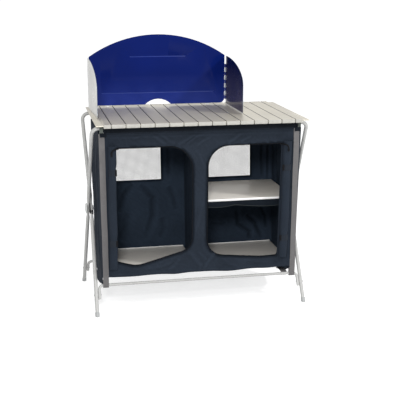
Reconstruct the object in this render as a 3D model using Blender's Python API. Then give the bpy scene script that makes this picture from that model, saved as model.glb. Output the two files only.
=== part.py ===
"""Folding camping cupboard: a crossed tube frame that carries a hung cloth cabinet with two door
openings, a slatted top that lifts off, and a sheet-metal windscreen with two hinged wings.
Metres, +Z up, +Y to the rear; the origin is on the floor under the middle of the top."""

import math

import bmesh
import bpy
from mathutils import Matrix, Vector

# Clearance between pieces that touch
GAP = 0.0003

# Slatted top
TOP_WIDTH = 0.870
TOP_DEPTH = 0.540
TOP_HEIGHT = 0.811
SLAT_COUNT = 15
SLAT_THICK = 0.015
SLAT_GAP = 0.0012
SLAT_CHAMFER = 0.0014
TONGUE_THICK = 0.0030
TONGUE_DEEP = 0.0022
RIB_COUNT = 7
RIB_GROOVE = 0.0026
RIB_DEEP = 0.0005
EDGE_LIP_WIDTH = 0.032
EDGE_LIP_THICK = 0.004
EDGE_LIP_DROP = 0.004
EDGE_LIP_OVERHANG = 0.002

# Frame tubes: the bars and feet stand in from the top's long edges and out from its ends
TUBE_R = 0.008
BEND_R = 0.030
FRONT_BAR_INSET = 0.068
REAR_BAR_INSET = 0.065
FRONT_BAR_SPREAD = 0.0135
REAR_BAR_SPREAD = 0.023
FRONT_FOOT_INSET = 0.038
REAR_FOOT_INSET = 0.048
FRONT_FOOT_SPREAD = 0.014
REAR_FOOT_SPREAD = 0.035

# Pivot where the two frames cross
PIVOT_Z = 0.408
PIVOT_SPREAD = 0.0095
FLAT_THICK = 0.010
FLAT_WIDEN = 1.20
FLAT_REACH = 0.028
FLAT_TURN = 0.042
FLAT_FADE = 0.055
PIVOT_PIN_R = 0.0032
PIVOT_HEAD_R = 0.015
PIVOT_HEAD_THICK = 0.0038
PIVOT_SOCKET = 0.0030
WASHER_R = 0.0235
WASHER_THICK = 0.0024
PIVOT_CAP_R = 0.0225
PIVOT_CAP_THICK = 0.0075

# Feet and lower cross bars
FOOT_CAP_R = 0.0094
FOOT_CAP_TALL = 0.018
FOOT_CAP_BASE = 0.009
LOWER_BAR_R = 0.006
LOWER_BAR_Z = 0.113
LOWER_BAR_BEND = 0.018
LOWER_TAIL_END_Z = 0.062
RIVET_R = 0.0020
RIVET_HEAD_R = 0.0042
RIVET_HEAD_THICK = 0.0018
RIVET_Z = 0.078

# Clips that seat the top on the two upper bars
CLIP_WALL = 0.0026
CLIP_WIDTH = 0.0130
FRONT_CLIP_CHEEK = 0.0250
REAR_CLIP_CHEEK = 0.011

# Windscreen: heights are above the top's surface
SCREEN_X = -0.116
SCREEN_INSET = 0.060
SCREEN_HALF = 0.309
SCREEN_SIDE_RISE = 0.2194
SCREEN_ARC_R = 0.538
SCREEN_RAISE = 0.0072
SCREEN_CORNER_R = 0.020
SHEET = 0.0012
NOTCH_HALF = 0.0585
NOTCH_RISE = 0.0245
TAB_OUT = 0.235
TAB_WIDTH = 0.016
CREASE_DEEP = 0.0016
CREASE_WIDE = 0.008
UPPER_CREASE_RISE = 0.2204
UPPER_CREASE_HALF = 0.124
LOWER_CREASE_RISE = 0.061
LOWER_CREASE_HALF = 0.2525
WING_LENGTH = 0.318
WING_ARC_RISE = 0.098
WING_CORNER_LONG = 0.018
WING_CORNER_TALL = 0.012
LEFT_WING_LEAN = 2.0
HINGE_R = 0.0027
HINGE_PIN_R = 0.0010
HINGE_LOW_RISE = 0.0243
HINGE_HIGH_RISE = 0.1827
HINGE_KNUCKLES = 9
HINGE_SPLIT = 0.0009
HINGE_EDGE = 0.0039

# Cloth cabinet
CLOTH = 0.0018
SIDE_CLEARANCE = 0.0158
HEM_SEAM_DROP = 0.0262
HEM_TOP_GAP = 0.0035
HEM_CLEARANCE = 0.0008
CABINET_BOTTOM_Z = 0.150
FLOOR_RISE = 0.004
WALL_ACROSS = 23
WALL_UP = 16

# Lower edge of a side wall: a straight stretch before the rear bar, with a short slope at each end
SIDE_FRONT_DROP = 0.017
SIDE_SAG_DROP = 0.086
SIDE_SAG_INSET = 0.091
SIDE_SAG_LONG = 0.074
SIDE_SLOPE_LONG = 0.080
SIDE_SLOPE_RISE = 0.018
SIDE_CORNER_LONG = 0.012
SIDE_CORNER_TALL = 0.055
SIDE_REAR_RISE = 0.020
SIDE_RULING = 0.036

# Door openings: how far in from the side wall, down from the hem and up from the lower edge
LEFT_DOOR_MARGIN = 0.0615
LEFT_DOOR_IN = -0.040
LEFT_DOOR_DROP = 0.0585
LEFT_DOOR_RISE = 0.045
LEFT_DOOR_TOP_R = 0.100
LEFT_DOOR_LOW_R = 0.060
LEFT_DOOR_SLANT = 0.066
LEFT_DOOR_DIP = 0.026
RIGHT_DOOR_MARGIN = 0.0805
RIGHT_DOOR_IN = 0.028
RIGHT_DOOR_DROP = 0.0615
RIGHT_DOOR_RISE = 0.056
RIGHT_DOOR_TOP_R = 0.085
RIGHT_DOOR_LOW_R = 0.075
RIGHT_DOOR_SLANT = 0.022
RIGHT_DOOR_DIP = 0.002
DOOR_DIP_LONG = 0.080
DOOR_DIP_R = 0.120
DOOR_CORNER_R = 0.012

# Net windows in the rear wall: in from the side wall, down from the hem and up from the shelf
LEFT_NET_MARGIN = 0.0475
LEFT_NET_IN = -0.108
RIGHT_NET_IN = 0.050
RIGHT_NET_MARGIN = 0.1045
NET_TOP_DROP = 0.0415
NET_SHELF_RISE = 0.014
NET_CORNER_R = 0.012
NET_CORNER_CUT = 0.0035
NET_THICK = 0.0008
NET_ACROSS = 8
NET_UP = 7
NET_STRAND = 0.0032

# Main folds of the cloth, each a line of (across, height) points and how far it stands out
FOLD_WIDTH = 0.022
FRONT_FOLDS = (
    ((-0.195, 0.745), (-0.155, 0.715), 0.0030),
    ((-0.092, 0.712), (-0.028, 0.750), 0.0040),
    ((0.120, 0.712), (0.170, 0.750), 0.0040),
    ((-0.050, 0.172), (0.035, 0.240), 0.0050),
)
BACK_FOLDS = (
    ((-0.228, 0.465), (-0.312, 0.300), 0.0070),
    ((-0.192, 0.460), (-0.118, 0.250), 0.0080),
    ((0.235, 0.335), (0.330, 0.160), 0.0100),
    ((0.300, 0.330), (0.388, 0.165), 0.0090),
    ((0.384, 0.680), (0.386, 0.440), 0.0060),
)
SIDE_FOLDS = (
    ((-0.110, 0.740), (-0.095, 0.330), 0.0050),
    ((0.030, 0.730), (0.045, 0.180), 0.0040),
    ((0.150, 0.740), (0.130, 0.420), 0.0060),
)

# Boards: in from the bars and from the side walls
BOARD_THICK = 0.010
BOARD_FRONT_INSET = 0.037
BOARD_REAR_INSET = 0.045
BOARD_SIDE = 0.012
SHELF_Z = 0.462
SHELF_BOARD_THICK = 0.010
SLING_MARGIN = 0.004
SLING_HEM = 0.018
SLING_SAG = 0.010
SLING_RULING = 0.050

# Rolled doors and webbing: in from the side walls
LEFT_ROLL_MARGIN = 0.046
LEFT_ROLL_HALF = 0.0185
RIGHT_ROLL_MARGIN = 0.0565
RIGHT_ROLL_HALF = 0.0215
ROLL_FLATNESS = 0.62
ROLL_OVERHANG = 0.010
ROLL_WAIST = 0.82
ROLL_END = 0.55
ROLL_TIES = (0.16, 0.80)
ROLL_TIE_LONG = 0.045
STRAP_THICK = 0.0015
CORNER_STRAP_MARGIN = 0.013
CORNER_STRAP_WIDTH = 0.024
FLOOR_STRAP_MARGIN = 0.0395
FLOOR_STRAP_WIDTH = 0.027
STRAP_TAIL = 0.022
STRAP_DROOP = 0.0045
STRAP_FLAP = 0.009

# Heights and places that follow from the sizes above
SLAT_PITCH = TOP_WIDTH / SLAT_COUNT
SLAT_LOW_Z = TOP_HEIGHT - SLAT_THICK
BAR_Z = SLAT_LOW_Z - GAP - TUBE_R
FRONT_BAR = (TOP_WIDTH / 2 + FRONT_BAR_SPREAD, FRONT_BAR_INSET - TOP_DEPTH / 2)
REAR_BAR = (TOP_WIDTH / 2 + REAR_BAR_SPREAD, TOP_DEPTH / 2 - REAR_BAR_INSET)
FRONT_FOOT = (TOP_WIDTH / 2 + FRONT_FOOT_SPREAD, FRONT_FOOT_INSET - TOP_DEPTH / 2)
REAR_FOOT = (TOP_WIDTH / 2 + REAR_FOOT_SPREAD, TOP_DEPTH / 2 - REAR_FOOT_INSET)
PIVOT_X = TOP_WIDTH / 2 + PIVOT_SPREAD
OUTER_PIVOT_X = PIVOT_X + FLAT_THICK + WASHER_THICK + 2 * GAP
LIP_START = SLAT_PITCH / 2 - EDGE_LIP_WIDTH + EDGE_LIP_OVERHANG
CLIP_X = TOP_WIDTH / 2 - EDGE_LIP_WIDTH + EDGE_LIP_OVERHANG + GAP
TABLE_TOP_Z = TOP_HEIGHT + GAP
SCREEN_Y = TOP_DEPTH / 2 - SCREEN_INSET
SCREEN_LOW_Z = TABLE_TOP_Z + SCREEN_RAISE
SCREEN_SIDE_Z = TOP_HEIGHT + SCREEN_SIDE_RISE
UPPER_CREASE_Z = TOP_HEIGHT + UPPER_CREASE_RISE
LOWER_CREASE_Z = TOP_HEIGHT + LOWER_CREASE_RISE
HINGE_LOW_Z = TOP_HEIGHT + HINGE_LOW_RISE
HINGE_HIGH_Z = TOP_HEIGHT + HINGE_HIGH_RISE
SHEET_OFFSET = HINGE_R - SHEET / 2
BOLT_HEAD_X = PIVOT_X - FLAT_THICK / 2 - GAP - PIVOT_HEAD_THICK
CABINET_HALF = BOLT_HEAD_X - SIDE_CLEARANCE - CLOTH - GAP
CABINET_TOP_Z = BAR_Z - HEM_SEAM_DROP
HEM_HALF = CLIP_X - HEM_CLEARANCE
HEM_TOP_Z = BAR_Z + TUBE_R - HEM_TOP_GAP
FLOOR_Z = CABINET_BOTTOM_Z + FLOOR_RISE
LEFT_DOOR_OUT = LEFT_DOOR_MARGIN - CABINET_HALF
LEFT_DOOR_TOP = CABINET_TOP_Z - LEFT_DOOR_DROP
LEFT_DOOR_LOW = CABINET_BOTTOM_Z + LEFT_DOOR_RISE
RIGHT_DOOR_OUT = CABINET_HALF - RIGHT_DOOR_MARGIN
RIGHT_DOOR_TOP = CABINET_TOP_Z - RIGHT_DOOR_DROP
RIGHT_DOOR_LOW = CABINET_BOTTOM_Z + RIGHT_DOOR_RISE
LEFT_NET_OUT = LEFT_NET_MARGIN - CABINET_HALF
RIGHT_NET_OUT = CABINET_HALF - RIGHT_NET_MARGIN
NET_LOW_Z = SHELF_Z + NET_SHELF_RISE
NET_TOP_Z = CABINET_TOP_Z - NET_TOP_DROP
BOARD_FRONT_Y = FRONT_BAR[1] + BOARD_FRONT_INSET
BOARD_REAR_Y = REAR_BAR[1] - BOARD_REAR_INSET


def material(name, colour, roughness, metallic=0.0):
    """A Principled material of one colour."""
    made = bpy.data.materials.new(name)
    made.use_nodes = True
    shader = made.node_tree.nodes["Principled BSDF"]
    shader.inputs["Base Color"].default_value = (*colour, 1.0)
    shader.inputs["Roughness"].default_value = roughness
    shader.inputs["Metallic"].default_value = metallic
    made.diffuse_color = (*colour, 1.0)
    return made


def turn_outwards(bm):
    """Points every face of a closed shape outwards."""
    bmesh.ops.recalc_face_normals(bm, faces=bm.faces[:])
    if bm.calc_volume(signed=True) < 0:
        bmesh.ops.reverse_faces(bm, faces=bm.faces[:])


def finished(name, bm, finish, parent=None, location=(0, 0, 0)):
    """Makes a closed bmesh into a named object."""
    turn_outwards(bm)
    mesh = bpy.data.meshes.new(name)
    bm.to_mesh(mesh)
    bm.free()
    mesh.shade_smooth()
    mesh.set_sharp_from_angle(angle=math.radians(35))
    return placed(name, mesh, finish, parent, location)


def placed(name, mesh, finish, parent=None, location=(0, 0, 0)):
    """Links an object; under a parent its coordinates stay the world's."""
    made = bpy.data.objects.new(name, mesh)
    made.location = location
    if finish is not None:
        mesh.materials.append(finish)
    if parent is not None:
        made.parent = parent
        made.matrix_parent_inverse = Matrix.Translation(parent.location).inverted()
    bpy.context.scene.collection.objects.link(made)
    return made


def axis_empty(name, location, parent=None):
    """An empty on a joint's axis, which the moving pieces are parented to."""
    made = bpy.data.objects.new(name, None)
    made.empty_display_size = 0.05
    made.location = location
    if parent is not None:
        made.parent = parent
        made.matrix_parent_inverse = Matrix.Translation(parent.location).inverted()
    bpy.context.scene.collection.objects.link(made)
    return made


def cutter(name, bm):
    """A shape that only cuts or joins: it isn't rendered."""
    made = finished(name, bm, None)
    made.hide_render = True
    made.display_type = "WIRE"
    return made


def boolean(target, other, operation):
    """Adds a Boolean modifier with the exact solver."""
    change = target.modifiers.new(other.name, "BOOLEAN")
    change.operation = operation
    change.object = other
    change.solver = "EXACT"


def arc(centre, radius, start, end, steps):
    """Points on an arc in a plane, from one angle to another in degrees."""
    angles = [math.radians(start + (end - start) * step / steps) for step in range(steps + 1)]
    return [(centre[0] + radius * math.cos(a), centre[1] + radius * math.sin(a)) for a in angles]


def ellipse_arc(centre, radii, start, end, steps):
    """Points on an elliptical arc in a plane."""
    angles = [math.radians(start + (end - start) * step / steps) for step in range(steps + 1)]
    return [(centre[0] + radii[0] * math.cos(a), centre[1] + radii[1] * math.sin(a)) for a in angles]


def strip(points, thickness):
    """The outline of a bent strip, offset to both sides of its middle line."""
    left, right = [], []
    for index, point in enumerate(points):
        here = Vector(point)
        before = (here - Vector(points[index - 1])).normalized() if index else None
        after = (Vector(points[index + 1]) - here).normalized() if index + 1 < len(points) else None
        before = before or after
        after = after or before
        along = (before + after).normalized()
        side = Vector((-along.y, along.x))
        reach = thickness / 2 / max(0.3, side.dot(Vector((-before.y, before.x))))
        left.append(tuple(here + side * reach))
        right.append(tuple(here - side * reach))
    return left + right[::-1]


def solid_of(loops, frame, start, end):
    """A closed plate: an outer loop with any holes, from one height to another along the third axis.

    frame maps (u, v, w) to a point of the model."""
    bm = bmesh.new()
    edges = []
    for loop in loops:
        verts = [bm.verts.new(frame(u, v, start)) for u, v in loop]
        edges += [bm.edges.new(pair) for pair in zip(verts, verts[1:] + verts[:1])]
    bmesh.ops.triangle_fill(bm, edges=edges, use_beauty=True)
    raised = bmesh.ops.extrude_face_region(bm, geom=bm.faces[:])["geom"]
    shift = Vector(frame(0, 0, end)) - Vector(frame(0, 0, start))
    bmesh.ops.translate(bm, verts=[v for v in raised if isinstance(v, bmesh.types.BMVert)], vec=shift)
    turn_outwards(bm)
    return bm


def along_x(u, v, w):
    return (w, u, v)


def along_y(u, v, w):
    return (u, w, v)


def box(low, high):
    """A closed block between two corners."""
    bm = bmesh.new()
    bmesh.ops.create_cube(bm, size=1)
    size = [b - a for a, b in zip(low, high)]
    middle = [(a + b) / 2 for a, b in zip(low, high)]
    bmesh.ops.scale(bm, vec=size, verts=bm.verts)
    bmesh.ops.translate(bm, vec=middle, verts=bm.verts)
    return bm


def turned(profile, steps, direction, at):
    """A turned piece: profile points (radius, along), spun about a direction through a point."""
    bm = bmesh.new()
    verts = [bm.verts.new((radius, 0, along)) for radius, along in profile]
    edges = [bm.edges.new(pair) for pair in zip(verts, verts[1:])]
    bmesh.ops.spin(
        bm, geom=verts + edges, cent=(0, 0, 0), axis=(0, 0, 1), angle=math.tau, steps=steps, use_merge=True
    )
    bmesh.ops.remove_doubles(bm, verts=bm.verts[:], dist=1e-6)
    turn = Vector(direction).to_track_quat("Z", "Y").to_matrix().to_4x4()
    bmesh.ops.transform(bm, matrix=Matrix.Translation(at) @ turn, verts=bm.verts[:])
    turn_outwards(bm)
    return bm


def rounded_route(corners, radius, steps):
    """A route through corner points, with a circular bend at each inner corner."""
    route = [Vector(corners[0])]
    for before, here, after in zip(corners, corners[1:], corners[2:]):
        here = Vector(here)
        back = (Vector(before) - here).normalized()
        forward = (Vector(after) - here).normalized()
        half = back.angle(forward) / 2
        set_back = radius / math.tan(half)
        middle = here + (back + forward).normalized() * radius / math.sin(half)
        first = here + back * set_back - middle
        last = here + forward * set_back - middle
        turn = first.angle(last)
        for step in range(steps + 1):
            share = step / steps
            arm = first * math.sin((1 - share) * turn) + last * math.sin(share * turn)
            route.append(middle + arm / math.sin(turn))
    route.append(Vector(corners[-1]))
    return route


def tube(points, radius, sides):
    """A solid round bar along points, from a bevelled curve with filled ends."""
    curve = bpy.data.curves.new("route", "CURVE")
    curve.dimensions = "3D"
    curve.bevel_depth = radius
    curve.bevel_resolution = sides // 2 - 2
    curve.use_fill_caps = True
    spline = curve.splines.new("POLY")
    spline.points.add(len(points) - 1)
    for target, point in zip(spline.points, points):
        target.co = (*point[:3], 1)
        target.radius = point[3] if len(point) > 3 else 1
    guide = bpy.data.objects.new("route", curve)
    bpy.context.scene.collection.objects.link(guide)
    mesh = bpy.data.meshes.new_from_object(guide.evaluated_get(bpy.context.evaluated_depsgraph_get()))
    bm = bmesh.new()
    bm.from_mesh(mesh)
    bmesh.ops.remove_doubles(bm, verts=bm.verts[:], dist=1e-6)
    bpy.data.objects.remove(guide)
    bpy.data.meshes.remove(mesh)
    bpy.data.curves.remove(curve)
    return bm


class Leg:
    """One leg of a crossed frame: from a top corner through the pivot to a foot, at one side."""

    def __init__(self, side, top, pivot_x, foot):
        self.side = side
        self.pivot = Vector((side * pivot_x, 0, PIVOT_Z))
        self.top = Vector((side * top[0], top[1], BAR_Z))
        self.ground = Vector((side * foot[0], foot[1], 0))
        self.up = Vector((0, self.top.y - self.ground.y, self.top.z)).normalized()
        self.across = Vector((0, -self.up.z, self.up.y))

    def at_distance(self, distance):
        """The middle line's point this far above the pivot, or below it where negative."""
        straight = max(-FLAT_REACH, min(FLAT_REACH, distance))
        start = self.pivot + self.up * straight
        end = self.top if distance > 0 else self.ground
        return start + (end - start).normalized() * abs(distance - straight)

    def at_height(self, height):
        """The lower leg's middle line at a height."""
        start = self.pivot - self.up * FLAT_REACH
        return start.lerp(self.ground, (start.z - height) / start.z)

    def lower_end(self):
        """Where the tube ends inside its foot cap."""
        start = self.pivot - self.up * FLAT_REACH
        return self.ground + (start - self.ground).normalized() * FOOT_CAP_BASE

    def downwards(self):
        return (self.ground - self.pivot + self.up * FLAT_REACH).normalized()

    def flatten(self, bm):
        """Presses the tube flat where it passes its partner, and keeps its girth."""
        for vert in bm.verts:
            if vert.co.x * self.side < 0:
                continue
            offset = vert.co - self.pivot
            distance = abs(offset.dot(self.up))
            if distance > FLAT_FADE or abs(offset.dot(self.across)) > 2 * TUBE_R:
                continue
            share = max(0, min(1, (FLAT_FADE - distance) / (FLAT_FADE - FLAT_REACH)))
            middle = self.at_distance(offset.dot(self.up)).x
            vert.co.x = middle + (vert.co.x - middle) * (1 - share * (1 - FLAT_THICK / 2 / TUBE_R))
            vert.co += self.across * offset.dot(self.across) * share * (FLAT_WIDEN - 1)


def legs_of(top, pivot_x, foot):
    return [Leg(side, top, pivot_x, foot) for side in (-1, 1)]


def pivot_cutters():
    """One drill for each pivot, through both frames' flattened tubes."""
    cutters = []
    for name, side in (("left", -1), ("right", 1)):
        start = side * (PIVOT_X - FLAT_THICK)
        reach = OUTER_PIVOT_X - PIVOT_X + 2 * FLAT_THICK
        profile = [(0, 0), (PIVOT_PIN_R + GAP, 0), (PIVOT_PIN_R + GAP, reach), (0, reach)]
        drill = turned(profile, 12, (side, 0, 0), (start, 0, PIVOT_Z))
        cutters.append(cutter(f"drill_pivot_{name}", drill))
    return cutters


def rivet_cutter(name, leg):
    """The drill for a lower bar's rivet, through the leg and the bar's turned-down end."""
    middle = leg.at_height(RIVET_Z)
    reach = 2 * (TUBE_R + LOWER_BAR_R) + 0.02
    start = middle.x + leg.side * (TUBE_R + 0.005)
    radius = RIVET_R + GAP
    profile = [(0, 0), (radius, 0), (radius, reach), (0, reach)]
    return cutter(f"drill_{name}", turned(profile, 10, (-leg.side, 0, 0), (start, middle.y, middle.z)))


def frame_tube(name, legs, finish, drills, parent=None):
    """A U of tube: two legs and the upper bar between them."""
    left, right = legs
    steps = [-FLAT_FADE, -FLAT_TURN, -FLAT_REACH, FLAT_REACH, FLAT_TURN, FLAT_FADE]
    corners = [left.at_distance(FLAT_FADE), left.top, right.top, right.at_distance(FLAT_FADE)]
    route = [left.lower_end()]
    route += [left.at_distance(step) for step in steps[:-1]]
    route += rounded_route(corners, BEND_R, 6)
    route += [right.at_distance(step) for step in reversed(steps[:-1])]
    route += [right.lower_end()]
    bm = tube(route, TUBE_R, 12)
    for leg in legs:
        leg.flatten(bm)
    made = finished(name, bm, finish, parent)
    for drill in drills:
        boolean(made, drill, "DIFFERENCE")
    return made


def lower_bar(name, legs, finish, drills, parent=None):
    """A lower cross bar: its ends turn down inside the two legs, where the rivets hold them."""
    inward = TUBE_R + GAP + LOWER_BAR_R
    corners = []
    for leg, heights in zip(legs, ((LOWER_TAIL_END_Z, LOWER_BAR_Z), (LOWER_BAR_Z, LOWER_TAIL_END_Z))):
        for height in heights:
            point = leg.at_height(height)
            corners.append((point.x - leg.side * inward, point.y, height))
    bm = tube(rounded_route(corners, LOWER_BAR_BEND, 5), LOWER_BAR_R, 10)
    made = finished(name, bm, finish, parent)
    for drill in drills:
        boolean(made, drill, "DIFFERENCE")
    return made


def foot_cap(name, leg, finish, parent=None):
    """A moulded boot over the tube's end, cut flat where it stands."""
    bore = TUBE_R + GAP
    profile = [
        (0, 0.020),
        (FOOT_CAP_R, 0.020),
        (FOOT_CAP_R, -FOOT_CAP_TALL + 0.0015),
        (FOOT_CAP_R - 0.0012, -FOOT_CAP_TALL),
        (bore, -FOOT_CAP_TALL),
        (bore, GAP - FOOT_CAP_BASE),
        (0, GAP - FOOT_CAP_BASE),
    ]
    bm = turned(profile, 14, leg.downwards(), leg.ground)
    whole = bm.verts[:] + bm.edges[:] + bm.faces[:]
    cut = bmesh.ops.bisect_plane(bm, geom=whole, plane_co=(0, 0, 0), plane_no=(0, 0, -1), clear_outer=True)
    rim = [part for part in cut["geom_cut"] if isinstance(part, bmesh.types.BMEdge)]
    bmesh.ops.edgeloop_fill(bm, edges=rim)
    return finished(name, bm, finish, parent)


def rivet(name, leg, finish, parent=None):
    """A rivet from outside the leg to inside the lower bar's end."""
    middle = leg.at_height(RIVET_Z)
    reach = 2 * (TUBE_R + GAP + LOWER_BAR_R) + GAP
    profile = [
        (0, -RIVET_HEAD_THICK),
        (RIVET_HEAD_R * 0.6, -RIVET_HEAD_THICK),
        (RIVET_HEAD_R, -RIVET_HEAD_THICK / 3),
        (RIVET_HEAD_R, 0),
        (RIVET_R, 0),
        (RIVET_R, reach),
        (RIVET_HEAD_R, reach),
        (RIVET_HEAD_R * 0.7, reach + RIVET_HEAD_THICK * 0.8),
        (0, reach + RIVET_HEAD_THICK * 0.8),
    ]
    start = middle.x + leg.side * (TUBE_R + GAP)
    return finished(name, turned(profile, 10, (-leg.side, 0, 0), (start, middle.y, middle.z)), finish, parent)


def pivot_hardware(finishes):
    """Bolts, the black spacer rings between the tubes, and the round outer caps."""
    for name, side in (("left", -1), ("right", 1)):
        inner_face = PIVOT_X - FLAT_THICK / 2 - GAP
        outer_face = OUTER_PIVOT_X + FLAT_THICK / 2 + GAP
        bolt = [
            (0, -PIVOT_HEAD_THICK),
            (PIVOT_HEAD_R * 0.55, -PIVOT_HEAD_THICK),
            (PIVOT_HEAD_R, -PIVOT_HEAD_THICK * 0.35),
            (PIVOT_HEAD_R, 0),
            (PIVOT_PIN_R, 0),
            (PIVOT_PIN_R, outer_face - inner_face + PIVOT_SOCKET),
            (0, outer_face - inner_face + PIVOT_SOCKET),
        ]
        at = (side * inner_face, 0, PIVOT_Z)
        finished(f"pivot_bolt_{name}", turned(bolt, 20, (side, 0, 0), at), finishes["bolt"])
        ring = [
            (PIVOT_PIN_R + GAP, 0),
            (WASHER_R, 0),
            (WASHER_R, WASHER_THICK),
            (PIVOT_PIN_R + GAP, WASHER_THICK),
            (PIVOT_PIN_R + GAP, 0),
        ]
        at = (side * (PIVOT_X + FLAT_THICK / 2 + GAP), 0, PIVOT_Z)
        finished(f"pivot_spacer_{name}", turned(ring, 24, (side, 0, 0), at), finishes["black"])
        hole = PIVOT_PIN_R + GAP
        cap = [
            (0, PIVOT_SOCKET + GAP),
            (hole, PIVOT_SOCKET + GAP),
            (hole, 0),
            (PIVOT_CAP_R, 0),
            (PIVOT_CAP_R, PIVOT_CAP_THICK * 0.45),
            (PIVOT_CAP_R * 0.93, PIVOT_CAP_THICK * 0.72),
            (PIVOT_CAP_R * 0.70, PIVOT_CAP_THICK * 0.94),
            (PIVOT_CAP_R * 0.35, PIVOT_CAP_THICK),
            (0, PIVOT_CAP_THICK),
        ]
        at = (side * outer_face, 0, PIVOT_Z)
        finished(f"pivot_cap_{name}", turned(cap, 24, (side, 0, 0), at), finishes["cap"])


def slat_section(first, last):
    """One slat's end view, about its own centre: ribs on top, a tongue at its right, a groove at its left."""
    half = SLAT_PITCH / 2 - SLAT_GAP / 2
    high = SLAT_THICK / 2
    cut = SLAT_CHAMFER
    tongue = TONGUE_THICK / 2
    groove = tongue + GAP
    lip_top = high - EDGE_LIP_DROP
    lip_low = lip_top - EDGE_LIP_THICK
    lip_start = LIP_START
    lip_end = lip_start + EDGE_LIP_WIDTH
    left_top = LIP_START if first else half
    right_top = LIP_START if last else half
    if last:
        right = [
            (lip_start, -high),
            (lip_start, lip_low),
            (lip_end, lip_low),
            (lip_end, lip_top),
            (lip_start, lip_top),
            (lip_start, high - cut),
            (lip_start - cut, high),
        ]
    else:
        reach = half + SLAT_GAP + TONGUE_DEEP
        right = [
            (half - cut, -high),
            (half, -high + cut),
            (half, -tongue),
            (reach, -tongue),
            (reach, tongue),
            (half, tongue),
            (half, high - cut),
            (half - cut, high),
        ]
    if first:
        left = [
            (cut - lip_start, high),
            (-lip_start, high - cut),
            (-lip_start, lip_top),
            (-lip_end, lip_top),
            (-lip_end, lip_low),
            (-lip_start, lip_low),
            (-lip_start, -high),
        ]
    else:
        floor = half - TONGUE_DEEP - GAP
        left = [
            (cut - half, high),
            (-half, high - cut),
            (-half, groove),
            (-floor, groove),
            (-floor, -groove),
            (-half, -groove),
            (-half, cut - high),
            (cut - half, -high),
        ]
    return right + ribs(right_top - cut, -left_top + cut, high) + left


def ribs(right, left, high):
    """The shallow grooves between the ribs along a slat's upper face, from right to left."""
    pitch = (right - left) / RIB_COUNT
    points = []
    for index in range(1, RIB_COUNT):
        middle = right - pitch * index
        points.append((middle + RIB_GROOVE / 2, high))
        points.append((middle, high - RIB_DEEP))
        points.append((middle - RIB_GROOVE / 2, high))
    return points


def slats(finish, parent):
    for index in range(SLAT_COUNT):
        section = slat_section(index == 0, index == SLAT_COUNT - 1)
        bm = solid_of([section], along_y, -TOP_DEPTH / 2, TOP_DEPTH / 2)
        middle = (-TOP_WIDTH / 2 + SLAT_PITCH * (index + 0.5), 0, TOP_HEIGHT - SLAT_THICK / 2)
        finished(f"slat_{index + 1:02d}", bm, finish, parent, middle)


def table_clips(finish, parent):
    """Four moulded clips under the end slats' lips, each with a slot that drops over an upper bar.
    The front ones reach further down, to the straps."""
    lip_low = TOP_HEIGHT - EDGE_LIP_DROP - EDGE_LIP_THICK
    slot = TUBE_R + GAP
    for place, bar_y, cheek in (
        ("front", FRONT_BAR[1], FRONT_CLIP_CHEEK),
        ("rear", REAR_BAR[1], REAR_CLIP_CHEEK),
    ):
        wide = slot + CLIP_WALL
        low = BAR_Z - cheek
        outline = [
            (bar_y - wide, lip_low - GAP),
            (bar_y - wide, low),
            (bar_y - slot, low),
            *[(y, z) for y, z in arc((bar_y, BAR_Z), slot, 180, 0, 10)],
            (bar_y + slot, low),
            (bar_y + wide, low),
            (bar_y + wide, lip_low - GAP),
        ]
        for name, side in (("left", -1), ("right", 1)):
            bm = solid_of([outline], along_x, side * CLIP_X, side * (CLIP_X + CLIP_WIDTH))
            finished(f"table_clip_{place}_{name}", bm, finish, parent)


def screen_outline():
    """The back sheet's outline, without its hinge knuckles."""
    left = SCREEN_X - SCREEN_HALF + HINGE_EDGE
    right = SCREEN_X + SCREEN_HALF - HINGE_EDGE
    arc_z = SCREEN_SIDE_Z - math.sqrt(SCREEN_ARC_R**2 - SCREEN_HALF**2)
    reach = math.degrees(math.asin((SCREEN_HALF - HINGE_EDGE) / SCREEN_ARC_R))
    notch_r = (NOTCH_HALF**2 + NOTCH_RISE**2) / (2 * NOTCH_RISE)
    notch = math.degrees(math.asin(NOTCH_HALF / notch_r))
    low = SCREEN_LOW_Z
    corner = SCREEN_CORNER_R
    tab = TABLE_TOP_Z
    outline = arc((left + corner, low + corner), corner, 180, 270, 4)
    outline += [
        (SCREEN_X - TAB_OUT, low),
        (SCREEN_X - TAB_OUT, tab),
        (SCREEN_X - TAB_OUT + TAB_WIDTH, tab),
        (SCREEN_X - TAB_OUT + TAB_WIDTH, low),
    ]
    outline += arc((SCREEN_X, low + NOTCH_RISE - notch_r), notch_r, 90 + notch, 90 - notch, 8)
    outline += [
        (SCREEN_X + TAB_OUT - TAB_WIDTH, low),
        (SCREEN_X + TAB_OUT - TAB_WIDTH, tab),
        (SCREEN_X + TAB_OUT, tab),
        (SCREEN_X + TAB_OUT, low),
    ]
    outline += arc((right - corner, low + corner), corner, 270, 360, 4)
    outline += arc((SCREEN_X, arc_z), SCREEN_ARC_R, 90 - reach, 90 + reach, 24)
    return outline


def wing_outline():
    """A wing's outline, as distance from the hinge and height: a quarter ellipse over a straight foot."""
    centre_z = SCREEN_SIDE_Z - WING_ARC_RISE
    low = TABLE_TOP_Z
    start = math.degrees(math.acos(HINGE_EDGE / WING_LENGTH))
    corner = (WING_LENGTH - WING_CORNER_LONG, low + WING_CORNER_TALL)
    outline = [(HINGE_EDGE, low), (corner[0], low)]
    outline += ellipse_arc(corner, (WING_CORNER_LONG, WING_CORNER_TALL), 300, 360, 4)
    outline += ellipse_arc((0, centre_z), (WING_LENGTH, WING_ARC_RISE), 0, start, 14)
    return outline


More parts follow.
